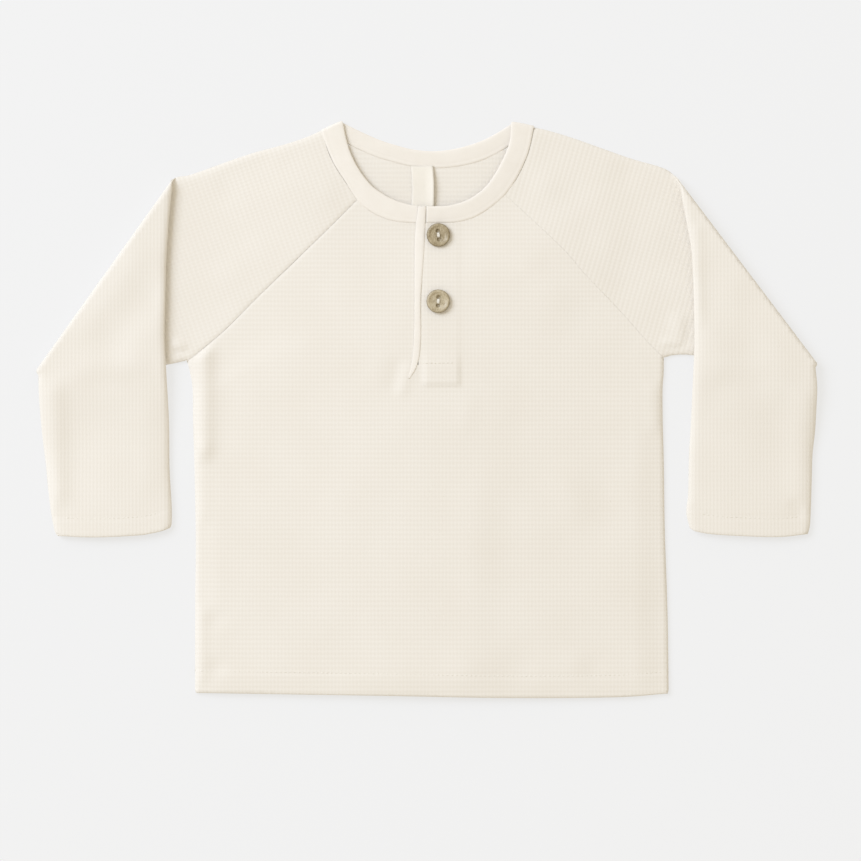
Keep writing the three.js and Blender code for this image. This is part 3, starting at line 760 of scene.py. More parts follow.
# %% Sleeve plans
SLEEVES = {
    "sleeve_right": {
        "side": -1, "covered": 140.0, "grain": 19.0, "lift": 0.5,
        "neck_front": [(-57.2, 150.4)] + [(x - 0.14, y) for x, y in BAND_LEFT["seam"][7:3:-1]],
        "raglan_front": [(x - 0.08, y + 0.08) for x, y in RAGLAN_LEFT[::-1]],
        "neck_back": [(-57.2, 150.4), (-49.2, 145.6), (-42.2, 142.1)],
        "raglan_back": [(-42.2, 142.1), (-69.9, 110.2), (-93.7, 80.2), (-114.9, 50.2), (-130.2, 26.0)],
        "top": [(-57.2, 150.4), (-65.0, 146.8), (-77.0, 142.8), (-95.9, 137.6), (-114.2, 131.2),
                (-125.0, 127.3), (-134.0, 124.6)],
        "under": [(-130.2, 26.0), (-141.0, 23.6), (-160.0, 21.0), (-185.0, 18.6), (-205.5, 17.0)],
        "fold": [(-137.2, 124.6), (-206.6, 27.4)],
        "inner": [(-137.6, 119.5), (-138.4, 112.6), (-139.8, 96.4), (-140.9, 79.1), (-141.4, 58.6),
                  (-141.8, 39.7), (-140.9, 19.7), (-139.6, -6.2), (-139.3, -32.1), (-138.2, -51.6),
                  (-138.2, -62.0), (-139.2, -64.6)],
        "outer": [(-209.9, 18.0), (-209.8, 9.0), (-209.0, -4.0), (-207.8, -17.0), (-206.2, -30.0),
                  (-205.0, -43.0), (-203.4, -56.0), (-201.4, -66.0), (-199.8, -68.8)],
        "cuff": [(-139.2, -64.6), (-142.8, -66.0), (-148.0, -67.3), (-157.0, -68.6),
                 (-180.0, -69.6), (-199.8, -68.8)],
        "near_creases": [
            ((-112.0, 76.0), (-101.0, 64.0), 7.0, 0.60),
            ((-97.0, 57.0), (-89.0, 48.0), 6.0, -0.60),
            ((-104.0, 82.0), (-68.0, 86.0), 8.0, 0.45),
            ((-121.0, 129.0), (-113.0, 122.0), 4.0, 0.35),
            ((-112.0, 119.0), (-106.0, 112.0), 5.0, -0.35),
            ((-84.0, 139.0), (-77.0, 133.0), 4.0, 0.30),
            ((-57.0, 124.0), (-52.0, 112.0), 5.0, 0.35),
            ((-139.5, 36.5), (-130.5, 32.5), 1.8, 1.00),
            ((-139.0, 31.5), (-129.5, 29.2), 1.4, -0.70),
            ((-136.0, 29.0), (-128.8, 27.2), 1.2, 0.55),
        ],
        "far_creases": [
            ((-201.8, 16.0), (-199.4, -52.0), 4.4, 1.30),
            ((-184.0, 10.0), (-181.0, -44.0), 9.0, -0.45),
            ((-188.0, 25.0), (-150.0, 23.5), 4.4, 0.32),
            ((-188.0, 14.0), (-152.0, 13.0), 4.6, -0.36),
            ((-152.0, 88.0), (-190.0, 38.0), 6.0, 0.70),
            ((-142.0, 70.0), (-176.0, 26.0), 7.0, -0.70),
            ((-166.0, 34.0), (-146.0, 44.0), 7.0, 0.45),
            ((-150.0, 6.0), (-151.0, -50.0), 6.0, 0.45),
            ((-176.0, -10.0), (-171.0, -54.0), 9.0, 0.40),
        ],
    },
    "sleeve_left": {
        "side": 1, "covered": 143.6, "grain": 16.0, "lift": 0.4,
        "neck_front": [(57.7, 151.8)] + [(x + 0.14, y) for x, y in BAND_RIGHT["seam"][1:5]],
        "raglan_front": [(x + 0.03, y + 0.03) for x, y in RAGLAN_RIGHT[::-1]],
        "neck_back": [(57.7, 151.8), (49.6, 144.8), (41.1, 139.4)],
        "raglan_back": [(41.1, 139.4), (69.7, 110.2), (92.7, 80.2), (112.7, 50.2), (128.0, 27.6)],
        "top": [(57.7, 151.8), (62.0, 151.0), (70.0, 148.8), (82.4, 144.8),
                (108.8, 135.4), (126.6, 130.2), (135.0, 125.4)],
        "under": [(128.0, 27.6), (133.7, 29.0), (143.9, 28.8), (160.0, 25.6), (185.0, 21.0), (206.0, 18.0)],
        "fold": [(134.9, 124.4), (203.8, 33.2)],
        "inner": [(136.4, 119.0), (137.4, 112.6), (140.5, 95.9), (142.3, 85.0), (143.4, 65.6), (143.9, 45.0),
                  (143.9, 32.1), (143.2, 15.0), (142.3, -6.2), (141.2, -25.7), (140.8, -45.1), (139.8, -56.0),
                  (141.6, -64.4)],
        "outer": [(209.3, 22.5), (210.3, 12.0), (210.0, 0.3), (209.3, -12.7), (208.0, -25.0), (207.6, -38.6),
                  (207.2, -51.6), (206.6, -63.0), (205.4, -67.8)],
        "cuff": [(141.6, -64.4), (145.0, -66.4), (154.7, -68.0), (172.0, -69.0),
                 (190.0, -69.4), (205.4, -67.8)],
        "near_creases": [
            ((61.0, 130.0), (63.0, 110.0), 6.0, 0.50),
            ((78.0, 128.0), (80.0, 106.0), 7.0, -0.55),
            ((95.0, 141.0), (108.0, 136.0), 4.0, 0.35),
            ((100.0, 128.0), (114.0, 123.0), 5.0, -0.45),
            ((88.0, 90.0), (106.0, 87.0), 6.0, 0.50),
            ((94.0, 67.0), (114.0, 62.0), 7.0, -0.55),
            ((135.0, 52.0), (136.6, 36.0), 3.4, 0.85),
            ((143.0, 48.0), (143.5, 32.0), 3.0, -0.60),
            ((126.5, 36.5), (137.0, 34.0), 1.6, 0.65),
            ((128.0, 32.2), (138.0, 31.4), 1.4, -0.60),
            ((118.0, 104.0), (127.0, 84.0), 7.0, 0.40),
        ],
        "far_creases": [
            ((145.0, 100.0), (145.6, 44.0), 2.6, 0.55),
            ((154.0, 84.0), (156.0, 40.0), 7.0, -0.55),
            ((151.0, 52.0), (157.0, 14.0), 6.0, 0.50),
            ((171.0, 66.0), (176.0, 14.0), 7.0, -0.60),
            ((150.0, 23.0), (184.0, 21.5), 4.4, 0.25),
            ((150.0, 11.5), (184.0, 10.0), 4.6, -0.30),
            ((202.0, 12.0), (200.6, -54.0), 5.0, 0.65),
            ((188.0, 6.0), (186.0, -46.0), 7.0, -0.40),
            ((170.0, -40.0), (166.0, -56.0), 9.0, -0.35),
            ((172.0, 92.0), (192.0, 62.0), 5.0, 0.45),
            ((196.0, -50.0), (203.0, -58.0), 2.2, -0.45),
        ],
    },
}

# %% Sleeve thickness and fold
NEAR_THICK = 2.75    # the flattened tube between body and fold
FAR_THICK = 4.2      # looser where it lies on top
FOLD_AXIS = 3.8      # height of the line that the sleeve is rolled round
EDGE_ROUND = 3.6     # how far in from an edge the tube is still rounding over
CUFF_DEPTH = 10.0
SLEEVE_LAYER = 1.0   # one layer of the sleeve's cloth
RIM_MEETS = 0.00006  # metres within which the edges of two layers are sewn into one
FOLD_REACH = 0.34    # the fold is pressed, so it reaches out less than it is high
FOLD_LENGTH = 0.745 * math.pi * (FOLD_AXIS - NEAR_THICK / 2)


class Sleeve:
    """Carries points from the unfolded plan of a sleeve to where they lie."""

    def __init__(self, plan):
        self.plan = plan
        low, high = np.array(plan["fold"][1], float), np.array(plan["fold"][0], float)
        self.along = (low - high) / np.linalg.norm(low - high)
        self.out = np.array([self.along[1], -self.along[0]]) * -plan["side"]
        if self.out[0] * plan["side"] < 0:
            self.out = -self.out
        self.axis = high - self.out * FOLD_AXIS * FOLD_REACH
        self.under_line = ruler(plan["under"], 2.0)
        self.inner_line = ruler(plan["inner"], 4.0)
        top = self.unfold(ruler(plan["inner"], EDGE_STEP))
        under = self.unfold(ruler(plan["outer"], EDGE_STEP))
        self.top_edge = ruler(np.vstack([ruler(plan["top"], 4.0)[:-1], top]), EDGE_STEP, bent=False)
        self.under_edge = ruler(np.vstack([ruler(plan["under"], 4.0)[:-1], under]), EDGE_STEP, bent=False)
        self.cuff_edge = self.unfold(ruler(plan["cuff"], EDGE_STEP))
        self.grain = -plan["side"] * plan["grain"] + 90.0

    def beyond(self, points):
        return (points - self.axis) @ self.out

    def unfold(self, points):
        """Where a point seen past the fold lies before the sleeve is folded."""
        seen = self.beyond(points)
        return points - np.outer(seen, self.out) + np.outer(FOLD_LENGTH - seen, self.out)

    def fold(self, points, layer):
        """Plan points of the front layer (1) or back layer (-1), as they lie when folded."""
        past = self.beyond(points)
        turn = np.clip(past / FOLD_LENGTH, 0, 1)
        edge = nearest(points, self.top_edge, self.under_edge)
        thick = NEAR_THICK + (FAR_THICK - NEAR_THICK) * smooth(past / FOLD_LENGTH)
        radius = thick / 2
        near = np.clip(edge / EDGE_ROUND, 0, 1)
        half = radius * np.sqrt(np.maximum(1 - (1 - near) ** 2, 0))
        level = radius + layer * half
        angle = turn * math.pi
        base = points - np.outer(past, self.out)
        reach = np.where(past < 0, past, 0) + (FOLD_AXIS - level) * FOLD_REACH * np.sin(angle)
        reach = reach - np.clip(past - FOLD_LENGTH, 0, None)
        height = FOLD_AXIS - (FOLD_AXIS - level) * np.cos(angle)
        lying = base + np.outer(reach, self.out)
        return np.column_stack([lying, height]), past, edge, turn


def lay_sleeve(sleeve, points, layer):
    """Folds a layer, lets it settle and adds its creases, seams and cuff."""
    plan = sleeve.plan
    placed, past, edge, turn = sleeve.fold(points, layer)
    flat = placed[:, :2]
    under_y = np.interp(plan["side"] * flat[:, 0], *sorted_line(sleeve.under_line, plan["side"]))
    drop = smooth((under_y + 3.0 - flat[:, 1]) / 46.0)
    rolled = np.exp(-(distance(flat, sleeve.inner_line) / 30.0) ** 2) * smooth((flat[:, 1] - 14.0) / 34.0)
    height = placed[:, 2].copy()
    height -= np.where(past > 0, drop * (2 * FOLD_AXIS - FAR_THICK) * turn, 0)
    height += np.where(past > 0, plan["lift"] * rolled * turn, 0)
    inner = smooth(edge / 6.0)
    on_top = np.where(past < FOLD_LENGTH / 2, layer > 0, layer < 0)
    seam_line, neck_line = sleeve.seams[0 if layer > 0 else 1], sleeve.necks[0 if layer > 0 else 1]
    seam = distance(points, seam_line)
    sewn = np.minimum(seam, distance(points, neck_line))
    near_rise = creases(flat, plan["near_creases"]) + ripple(flat, 0.3) * smooth(sewn / 12.0) + air(flat)
    near_rise *= smooth((plan["covered"] - plan["side"] * flat[:, 0]) / 5.0)
    far_rise = creases(flat, plan["far_creases"]) + ripple(flat[:, ::-1], 0.45) + 0.6 * smooth(edge / 26.0)
    rise = np.where(past > FOLD_LENGTH / 2, far_rise, near_rise)
    height += np.where(on_top, rise * inner * np.where(past < 0, 1.0, smooth(past / FOLD_LENGTH * 2 - 1)), 0)
    cuff = distance(points, sleeve.cuff_edge)
    outward = np.where(on_top, 1.0, -1.0)
    groove = -0.2 * np.exp(-((cuff - CUFF_DEPTH) / 0.7) ** 2) + 0.06 * smooth((CUFF_DEPTH + 0.5 - cuff) / 1.2)
    groove -= edge_round(cuff, 1.0) * 0.7
    groove -= seam_dip(flat, seam)
    height += outward * groove * np.where((outward < 0) & (height < 1.2), 0.3, 1.0)
    return np.column_stack([flat, np.maximum(height, 0.02)])


def sorted_line(line, side):
    order = np.argsort(side * line[:, 0])
    return side * line[order, 0], line[order, 1]


def sleeve_piece(name, plan):
    sleeve = Sleeve(plan)
    verts, faces, places = [], [], []
    start = 0
    sleeve.seams = [ruler(plan["raglan_front"], 3.0), ruler(plan["raglan_back"], 3.0)]
    sleeve.necks = [ruler(plan["neck_front"], 3.0), ruler(plan["neck_back"], 3.0)]
    for layer, neck, raglan in ((1, "neck_front", "raglan_front"), (-1, "neck_back", "raglan_back")):
        loop = join_lines(
            sleeve.top_edge, sleeve.cuff_edge, sleeve.under_edge[::-1],
            ruler(plan[raglan], EDGE_STEP)[::-1], ruler(plan[neck], EDGE_STEP)[::-1])
        flat, triangles, _ = cut_cloth(loop, grain_grid(loop, sleeve.grain), 0.7, (0.25, 0.8))
        verts.append(lay_sleeve(sleeve, flat, layer))
        ribbed = smooth(sleeve.beyond(flat) / FOLD_LENGTH)
        places.append(knit_place(flat, sleeve.grain, ribbed))
        faces += [tuple(i + start for i in (f if layer > 0 else f[::-1])) for f in triangles]
        start += len(flat)
    piece = make_piece(name + "_cloth", np.vstack(verts), faces, WAFFLE, np.vstack(places))
    close_tube(piece)
    print(name, len(piece.data.polygons), "faces")
    return piece, sleeve


def close_tube(piece):
    """Sews the layers together along their folds and gives the cloth its thickness."""
    bm = bmesh.new()
    bm.from_mesh(piece.data)
    rim = [v for v in bm.verts if v.is_boundary]
    bmesh.ops.remove_doubles(bm, verts=rim, dist=RIM_MEETS)
    bmesh.ops.recalc_face_normals(bm, faces=bm.faces[:])
    bm.to_mesh(piece.data)
    bm.free()
    thicken(piece, SLEEVE_LAYER, -1.0)
    piece.data.set_sharp_from_angle(angle=CUT_ANGLE)


sleeve_cloths = {}
sleeve_makers = {}
for node, plan in SLEEVES.items():
    cloth, maker = sleeve_piece(node, plan)
    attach(cloth, "root")
    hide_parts(node)
    sleeve_cloths[node] = cloth
    sleeve_makers[node] = maker

# %% [markdown]
# ## Neckband
#
# One strip of jersey, folded lengthwise and sewn round the neck. It starts at one side of the
# opening, turns over at the first shoulder, runs behind the neck and comes back over the other
# shoulder. It is lofted through sections that are rounded at the free edge.

# %% Neckband piece
BAND_THICK = 1.3
BAND_RAISED = 1.95    # underside of the front band where it lies on the back band
BAND_LEAN = 0.4       # how much higher the free edge lies than the seam
BAND_WIDTH = 9.5
SHOULDER_STEPS = 12   # sections as the band turns over a shoulder


def band_stations(table, count):
    seam = ruler(table["seam"], 0.4)
    free = ruler(table["free"], 0.4)
    pick = np.linspace(0, 1, count)

    def at(line):
        share = np.linspace(0, 1, len(line))
        return np.stack([np.interp(pick, share, line[:, i]) for i in (0, 1)], axis=1)

    return at(seam), at(free)


def band_section(seam, free, turn, base, lean):
    """Points round one section. turn runs from 0 behind the neck to pi in front."""
    way = free - seam
    width = np.linalg.norm(way)
    across = np.array([*(way / width), 0.0])
    out = np.cross(across, [0, 0, 1.0])
    if out[0] * seam[0] < 0:
        out = -out
    half = BAND_THICK / 2
    normal = math.sin(turn) * out - math.cos(turn) * np.array([0, 0, 1.0])
    centre = np.array([*seam, base + half]) + math.sin(turn) * (half + 0.35) * out
    around = []
    for share, side in BAND_SHAPE:
        bulge = half * side
        around.append(centre + across * width * share + normal * bulge + np.array([0, 0, lean * share]))
    return around


def over_shoulder(seam, free, turns):
    """Sections that turn over at a shoulder, from the back band to the front one."""
    return [band_section(seam, free, turn, BAND_RAISED * (1 - math.cos(turn)) / 2, BAND_LEAN)
            for turn in turns]


# Share of the width from seam to free edge, and share of the half thickness on either face
TOP_FACE = [(0.0, 0.35), (0.03, 0.7), (0.08, 0.92), (0.15, 0.98), (0.2, 0.86), (0.25, 0.97), (0.36, 1.03),
            (0.5, 1.05), (0.7, 1.03),
            (0.82, 0.98), (0.9, 0.86), (0.95, 0.68), (0.98, 0.45), (0.995, 0.22)]
BAND_SHAPE = TOP_FACE + [(1.0, 0.0)] + [(s, -h) for s, h in TOP_FACE[::-1]]


def neckband():
    left_seam, left_free = band_stations(BAND_LEFT, 90)
    back_seam, back_free = band_stations(BAND_BACK, 120)
    right_seam, right_free = band_stations(BAND_RIGHT, 90)
    sections = []

    def front_base(seam, tip, proud):
        """Nearly level with the cloth it is sewn to, and above the back band at the shoulder."""
        level = FRONT_FLOOR + float(air(seam[None])[0]) + WALL + proud - BAND_THICK
        crossing = float(smooth(1.5 - np.linalg.norm(seam - tip) / 17.0))
        return level + max(0.0, BAND_RAISED - level) * crossing

    for seam, free in zip(left_seam, left_free):
        sections.append(band_section(seam, free, math.pi, front_base(seam, left_seam[-1], 0.1), BAND_LEAN))
    turns = [math.pi * step / SHOULDER_STEPS for step in range(1, SHOULDER_STEPS)]
    sections += over_shoulder(left_seam[-1], left_free[-1], turns[::-1])
    for seam, free in zip(back_seam, back_free):
        sections.append(band_section(seam, free, 0.0, 0.05, BAND_LEAN))
    sections += over_shoulder(right_seam[0], right_free[0], turns)
    for seam, free in zip(right_seam, right_free):
        lean = BAND_LEAN + 0.5 * float(smooth(np.linalg.norm(seam - right_seam[0]) / 30.0))
        sections.append(band_section(seam, free, math.pi, front_base(seam, right_seam[0], 0.3), lean))
    around = len(BAND_SHAPE)
    verts = np.array(sections).reshape(-1, 3)
    faces = loft_faces(len(sections), around)
    middle = np.array(sections)[:, around // 4]
    run = np.concatenate([[0], np.cumsum(np.linalg.norm(np.diff(middle, axis=0), axis=1))])
    place = np.zeros((len(verts), 2))
    place[:, 0] = np.repeat(run, around)
    place[:, 1] = np.tile([s * BAND_WIDTH for s, _ in BAND_SHAPE], len(sections))
    piece = make_piece("neck_rib", verts, faces, JERSEY, place)
    print("neckband runs", round(float(run[-1])), "mm")
    return piece


neck_rib = neckband()
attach(neck_rib, "root")
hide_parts("neckband")

# %% [markdown]
# ## Placket
#
# The opening's left edge is bound with a narrow rolled strip of jersey that stands proud of the
# knit. The layer under the opening only shows as a raised print below its end, so it is a plain
# flat piece there.

# %% Placket pieces
STRIP_ROWS = [
    # y, left, right, rise above what is under it
    (109.2, -5.2, -0.75, 0.42),
    (105.0, -5.5, -0.85, 0.45),
    (100.0, -6.2, -1.0, 0.48),
    (90.0, -7.0, -1.5, 0.48),
    (79.0, -7.1, -2.2, 0.46),
    (68.0, -7.1, -3.0, 0.44),
    (57.0, -7.1, -3.6, 0.42),
    (42.0, -7.3, -3.5, 0.42),
    (32.0, -7.8, -3.9, 0.38),
    (26.0, -8.4, -4.8, 0.32),
    (21.0, -9.4, -6.6, 0.22),
    (16.0, -10.8, -9.8, 0.03),
]
UNDERLAP_TOP = 2.5      # heights of the underlap's two faces
UNDERLAP_UNDER = 1.6
STRIP_SHAPE = [(-1.0, 0.0), (-0.88, 0.3), (-0.6, 0.66), (-0.1, 0.9), (0.35, 1.0), (0.68, 0.95),
               (0.88, 0.66), (0.96, 0.35), (1.0, 0.0)]


def strip_ground(x, y):
    """The top of what the strip lies on: the knit, then the end of the neckband."""
    knit = float(front_height(np.array([[x, min(y, 99.5)]]), detail=False)[0]) + 0.06
    return knit + 0.6 * float(smooth((y - 98.5) / 9.0))


def placket_strip():
    rows = ruler(STRIP_ROWS, 0.9)
    verts, places = [], []
    for y, left, right, rise in rows:
        middle, half = (left + right) / 2, (right - left) / 2
        ground = strip_ground(middle, y)
        for across, up in STRIP_SHAPE:
            verts.append((middle + across * half, y, ground + rise * up))
            places.append((y, across * 2.5))
    faces = loft_faces(len(rows), len(STRIP_SHAPE))
    return make_piece("placket_edge", verts, faces, JERSEY, np.array(places))


def placket_layer():
    box = UNDERLAP
    corners = [(box["left"], box["bottom"]), (box["right"], box["bottom"]), (box["right"], box["top"]),
               (box["left"], box["top"])]
    loop = join_lines(*[ruler([a, b], EDGE_STEP)[:-1] for a, b in zip(corners, corners[1:] + corners[:1])])
    verts, faces = shell_from(
        loop, lambda p: np.full(len(p), UNDERLAP_TOP), lambda p: np.full(len(p), UNDERLAP_UNDER))
    return make_piece("placket_layer", verts, faces, WAFFLE, knit_place(verts[:, :2], 0.0))


placket_edge = placket_strip()
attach(placket_edge, "root")
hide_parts("placket_strip")
placket_under = placket_layer()
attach(placket_under, "root")
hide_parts("placket_underlap")

# %% [markdown]
# ## Label
#
# A loop of satin tape is caught in the back neck seam and hangs into the neck, its end under the
# front band and its right edge curling up. It is left bare.

# %% Label piece
LABEL = {"left": -8.9, "right": 3.0, "top": 131.0, "bottom": 104.5}
TAPE_THICK = 0.22


def neck_label():
    """Two layers of tape joined by a fold at the lower end."""
    columns, rows = 12, 26
    points, faces = [], []
    layers = []
    for layer in (0, 1):
        for r in range(rows + 1):
            t = r / rows
            y = LABEL["top"] + (LABEL["bottom"] - LABEL["top"]) * t
            for c in range(columns + 1):
                s = c / columns
                x = LABEL["left"] + (LABEL["right"] - LABEL["left"]) * s + 0.5 * math.sin(3.0 * t)
                curl = 1.5 * max(0.0, (s - 0.55) / 0.45) ** 2 * math.sin(math.pi * min(1, t * 1.06))
                wave = 0.25 * math.sin(2.2 * math.pi * t + 0.8)
                gap = 0.55 * math.sin(math.pi * (0.1 + 0.9 * (1 - t)))
                lift = 1.62 + (0.3 + gap) * layer + (curl + wave * layer) * (0.55 + 0.45 * layer)
                points.append((x, y, max(lift, 1.5 + 0.3 * layer)))
        layers.append([[layer * (rows + 1) * (columns + 1) + r * (columns + 1) + c
                        for c in range(columns + 1)] for r in range(rows + 1)])
    for layer, sign in ((0, -1), (1, 1)):
        for r in range(rows):
            for c in range(columns):
                g = layers[layer]
                face = (g[r][c], g[r][c + 1], g[r + 1][c + 1], g[r + 1][c])
                faces.append(face if sign > 0 else face[::-1])
    for c in range(columns):
        faces.append((layers[1][rows][c], layers[1][rows][c + 1], layers[0][rows][c + 1], layers[0][rows][c]))
    piece = make_piece("label_tape_loop", points, faces, TAPE)
    thicken(piece, TAPE_THICK, 0.0)
    return piece


label_loop = neck_label()
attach(label_loop, "root")
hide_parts("neck_label")

# %% [markdown]
# ## Buttons
#
# Two-hole buttons with a raised rim and a dished middle, turned on a lathe and then drilled, so
# that is how they are made here. Cream thread crosses from hole to hole.

# %% Button pieces
BUTTON_RADIUS = 6.35
BUTTON_PROFILE = [(0.0, 0.0), (4.8, 0.0), (5.7, 0.25), (6.2, 0.75), (6.35, 1.3), (6.3, 1.75), (6.05, 2.15),
                  (5.65, 2.38), (5.2, 2.4), (4.85, 2.25), (4.55, 1.98), (4.2, 1.8), (3.4, 1.68),
                  (2.0, 1.6), (0.0, 1.58)]
BUTTONS = {"button_top": (5.9, 93.6, 8.0), "button_bottom": (5.8, 57.8, -4.0)}
HOLE_PITCH = 4.4
HOLE_RADIUS = 1.1
BUTTON_SIDES = 72
DRILL_SIDES = 28
BUTTON_GAP = 0.1        # how far a button stands off the cloth
STRAND_RADIUS = 0.22    # the thread through a button's holes
STRANDS = (-0.56, -0.2, 0.18, 0.54)


def turned_disc(name, profile, steps):
    """A mesh from a profile turned round the Z axis."""
    verts, faces = [(0, 0, profile[0][1]), (0, 0, profile[-1][1])], []
    rings = []
    for r, z in profile[1:-1]:
        rings.append([len(verts) + k for k in range(steps)])
        angles = [FULL_TURN * k / steps for k in range(steps)]
        verts += [(r * math.cos(a), r * math.sin(a), z) for a in angles]
    for k in range(steps):
        n = (k + 1) % steps
        faces.append((0, rings[0][n], rings[0][k]))
        faces.append((1, rings[-1][k], rings[-1][n]))
        for low, high in zip(rings, rings[1:]):
            faces.append((low[k], low[n], high[n], high[k]))
    mesh = bpy.data.meshes.new(name)
    mesh.from_pydata([tuple(v * MM for v in p) for p in verts], [], faces)
    return bpy.data.objects.new(name, mesh)


def button(name, x, y, angle):
    disc = turned_disc(name + "_disc", BUTTON_PROFILE, BUTTON_SIDES)
    scene = bpy.context.scene.collection
    scene.objects.link(disc)
    for end in (-1, 1):
        lip = HOLE_RADIUS + 0.25
        bore = [(0, 0.4), (HOLE_RADIUS, 0.4), (HOLE_RADIUS, 1.35), (lip, 1.75), (lip, 4), (0, 4)]
        drill = turned_disc("drill", bore, DRILL_SIDES)
        drill.location = (0, end * HOLE_PITCH / 2 * MM, 0)
        scene.objects.link(drill)
        cut = disc.modifiers.new("hole", "BOOLEAN")
        cut.operation = "DIFFERENCE"
        cut.object = drill
        apply_modifier(disc, cut)
        bpy.data.objects.remove(drill)
    seat = float(front_height(np.array([[x, y]]), detail=False)[0]) + BUTTON_GAP
    for v in disc.data.vertices:
        px, py = turned([v.co.xy], angle)[0]
        v.co = (px + (x - MIDDLE[0]) * MM, py + (y - MIDDLE[1]) * MM, v.co.z + seat * MM)
    ring = disc.data.attributes.new("ring", "FLOAT", "POINT")
    for i, v in enumerate(disc.data.vertices):
        out = math.hypot(v.co.x + (MIDDLE[0] - x) * MM, v.co.y + (MIDDLE[1] - y) * MM)
        ring.data[i].value = out / (BUTTON_RADIUS * MM)
    disc.data.shade_smooth()
    disc.data.materials.append(SHELLS[name])
    return disc, seat


def tube(path, radius, sides=7):
    """Points and faces of a round tube along a path in plan millimetres."""
    path = np.array(path, float)
    way = np.gradient(path, axis=0)
    way /= np.linalg.norm(way, axis=1)[:, None]
    verts = []
    for k, (p, w) in enumerate(zip(path, way)):
        side = np.cross(w, [0.0, 0.0, 1.0])
        size = np.linalg.norm(side)
        side = side / size if size > 1e-3 else np.array([1.0, 0, 0])
        up = np.cross(side, w)
        r = radius if 0 < k < len(path) - 1 else radius * 0.45
        for i in range(sides):
            a = FULL_TURN * i / sides
            verts.append(p + r * (math.cos(a) * side + math.sin(a) * up))
    return verts, loft_faces(len(path), sides)


def join_tubes(name, tubes, material):
    verts, faces = [], []
    for part_verts, part_faces in tubes:
        shift = len(verts)
        verts += list(part_verts)
        faces += [tuple(i + shift for i in f) for f in part_faces]
    return make_piece(name, np.array(verts), faces, material)


for name, (x, y, angle) in BUTTONS.items():
    disc, seat = button(name, x, y, angle)
    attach(disc, "root")
    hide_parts(name)
    strands = []
    for offset in STRANDS:
        path = []
        for t in np.linspace(-1, 1, 11):
            along = t * (HOLE_PITCH / 2 - HOLE_RADIUS + 0.3)
            spot = turned([(offset * (1 - 0.3 * abs(t)), along)], angle)[0] + (x, y)
            rise = 2.0 - 1.9 * max(0.0, (abs(t) - 0.62) / 0.38) ** 2
            path.append((*spot, seat + rise))
        strands.append(tube(path, STRAND_RADIUS))
    threads = join_tubes(name + "_thread", strands, THREAD)
    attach(threads, "root")
print("buttons", list(BUTTONS))

# %% [markdown]
# ## Stitches
#
# A machine leaves a row of short stitches along the hem and each cuff, where the cloth is turned
# up, and a short row that tacks the placket's end. Each stitch is a short rounded thread that dips
# into the cloth at both ends.

# %% Stitch rows
STITCH = 2.5
TACK_STITCH = 2.1
STITCH_SHARES = np.array([0.12, 0.3, 0.5, 0.7, 0.88])[:, None]   # points along one stitch
STITCH_ARCH = np.array([-0.16, 0.08, 0.14, 0.08, -0.16])         # and their rise
HEM_ENDS = (-123.6, 127.6)


def stitches(line, height, length=STITCH, radius=0.17, sink=0.02):
    """Short threads along a plan line, on the surface that height gives."""
    line = ruler(line, length, bent=False)
    made = []
    for a, b in zip(line[:-1], line[1:]):
        flat = a + (b - a) * STITCH_SHARES
        top = height(flat)
        made.append(tube(np.column_stack([flat, top + STITCH_ARCH - sink]), radius, 6))
    return made


def offset_line(line, amount):
    way = np.gradient(line, axis=0)
    way /= np.linalg.norm(way, axis=1)[:, None]
    return line + amount * np.stack([-way[:, 1], way[:, 0]], axis=1)


def hem_row(offset):
    line = offset_line(ruler(HEM, 2.0), offset)
    return line[(line[:, 0] > HEM_ENDS[0]) & (line[:, 0] < HEM_ENDS[1])]


def cuff_row(maker, offset):
    """A row of stitches along a cuff, on the layer that shows."""
    edge = ruler(maker.plan["cuff"], 1.0)
    inward = offset_line(edge, offset * maker.plan["side"])
    return inward[4:-4]


def cuff_height(maker):
    return lambda flat: lay_sleeve(maker, maker.unfold(flat), -1)[:, 2]


seam_rows = stitches(hem_row(HEM_DEPTH), front_height)
hem_threads = join_tubes("hem_stitches", seam_rows, THREAD)
cuff_threads = {}
for node, maker in sleeve_makers.items():
    row = stitches(cuff_row(maker, CUFF_DEPTH), cuff_height(maker))
    cuff_threads[node] = join_tubes(node + "_cuff_stitches", row, THREAD)
PLACKET_TACK = [(-3.6, 24.4), (14.0, 24.6)]
tack_row = stitches(ruler(PLACKET_TACK, 1.0, bent=False), front_height, TACK_STITCH)
tack_threads = join_tubes("placket_stitches", tack_row, THREAD)
all_threads = [hem_threads, tack_threads, *cuff_threads.values()]
for threads in all_threads:
    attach(threads, "root")
print("stitches", sum(len(t.data.polygons) for t in all_threads), "faces")

# %% [markdown]
# ## Table, light and camera
#
# The photograph looks straight down on a plain pale surface that hardly takes a shadow, like a
# light table, so the table here glows a little. A broad light comes from the upper left and the
# rest is soft and even. A long lens keeps the outline true.

# %% Table
TABLE_GREY = (0.22, 0.22, 0.22, 1)
TABLE_GLOW = 0.65


def table_finish():
    paper = Finish("table")
    return paper.done(Base_Color=TABLE_GREY, Roughness=0.9, Specular_IOR_Level=0.0,
                      Emission_Color=(1.0, 1.0, 1.0, 1), Emission_Strength=TABLE_GLOW)


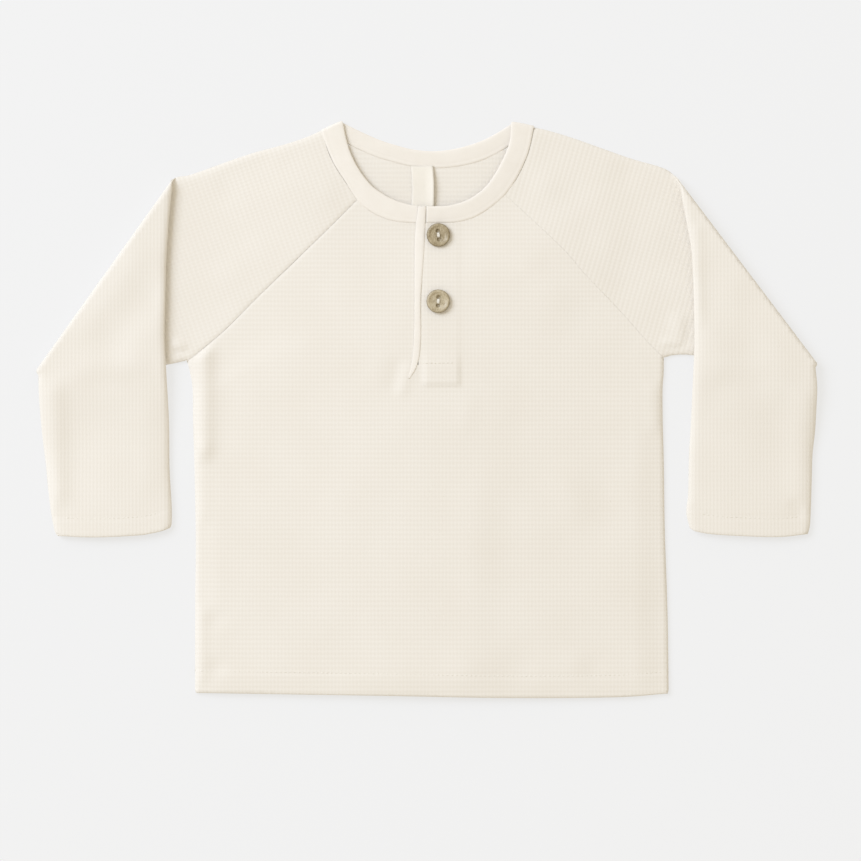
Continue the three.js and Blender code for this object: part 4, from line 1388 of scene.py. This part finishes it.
bpy.ops.mesh.primitive_plane_add(size=6.0, location=(0, 0, 0))
table = bpy.context.object
table.name = "table_top"
table.data.materials.append(table_finish())

# %% Light
ROOM_COLOUR = (1.07, 1.0, 0.86, 1)
ROOM_LIGHT = 0.70
world = bpy.data.worlds.new("studio")
bpy.context.scene.world = world
world.use_nodes = True
room = world.node_tree.nodes["Background"].inputs
room[0].default_value = ROOM_COLOUR
room[1].default_value = ROOM_LIGHT


def soft_light(name, azimuth, height, away, size, watts, colour):
    """A square soft box that faces the shirt from a bearing and a height in degrees."""
    lamp = bpy.data.lights.new(name, "AREA")
    lamp.shape = "SQUARE"
    lamp.size = size
    lamp.energy = watts
    lamp.color = colour
    a, h = math.radians(azimuth), math.radians(height)
    towards = Vector((math.cos(a) * math.cos(h), math.sin(a) * math.cos(h), math.sin(h)))
    box = bpy.data.objects.new(name, lamp)
    box.location = towards * away
    box.rotation_euler = towards.to_track_quat("Z", "Y").to_euler()
    bpy.context.scene.collection.objects.link(box)


soft_light("window", 148.0, 42.0, 4.6, 2.7, 128.0, (0.883, 1.0, 1.233))

# %% Camera
PHOTO_SIDE = 861           # pixels
PIXEL = 0.54               # millimetres
DISTANCE = 2.6             # metres
PLAN_ZERO = (427.5, 408.5)  # the photograph's pixel at the plan's zero
PHOTO_MIDDLE = PHOTO_SIDE / 2
CENTRE = ((PHOTO_MIDDLE - PLAN_ZERO[0]) * PIXEL, (PLAN_ZERO[1] - PHOTO_MIDDLE) * PIXEL)
SENSOR = 36.0
camera = bpy.data.cameras.new("camera")
camera.sensor_width = SENSOR
camera.lens = SENSOR * DISTANCE / (PHOTO_SIDE * PIXEL * MM)
camera.clip_end = 20.0
eye = bpy.data.objects.new("camera", camera)
eye.location = ((CENTRE[0] - MIDDLE[0]) * MM, (CENTRE[1] - MIDDLE[1]) * MM, DISTANCE + 0.003)
bpy.context.scene.collection.objects.link(eye)
bpy.context.scene.camera = eye
bpy.context.scene.view_settings.view_transform = "Standard"
print("lens", round(camera.lens, 1), "mm")
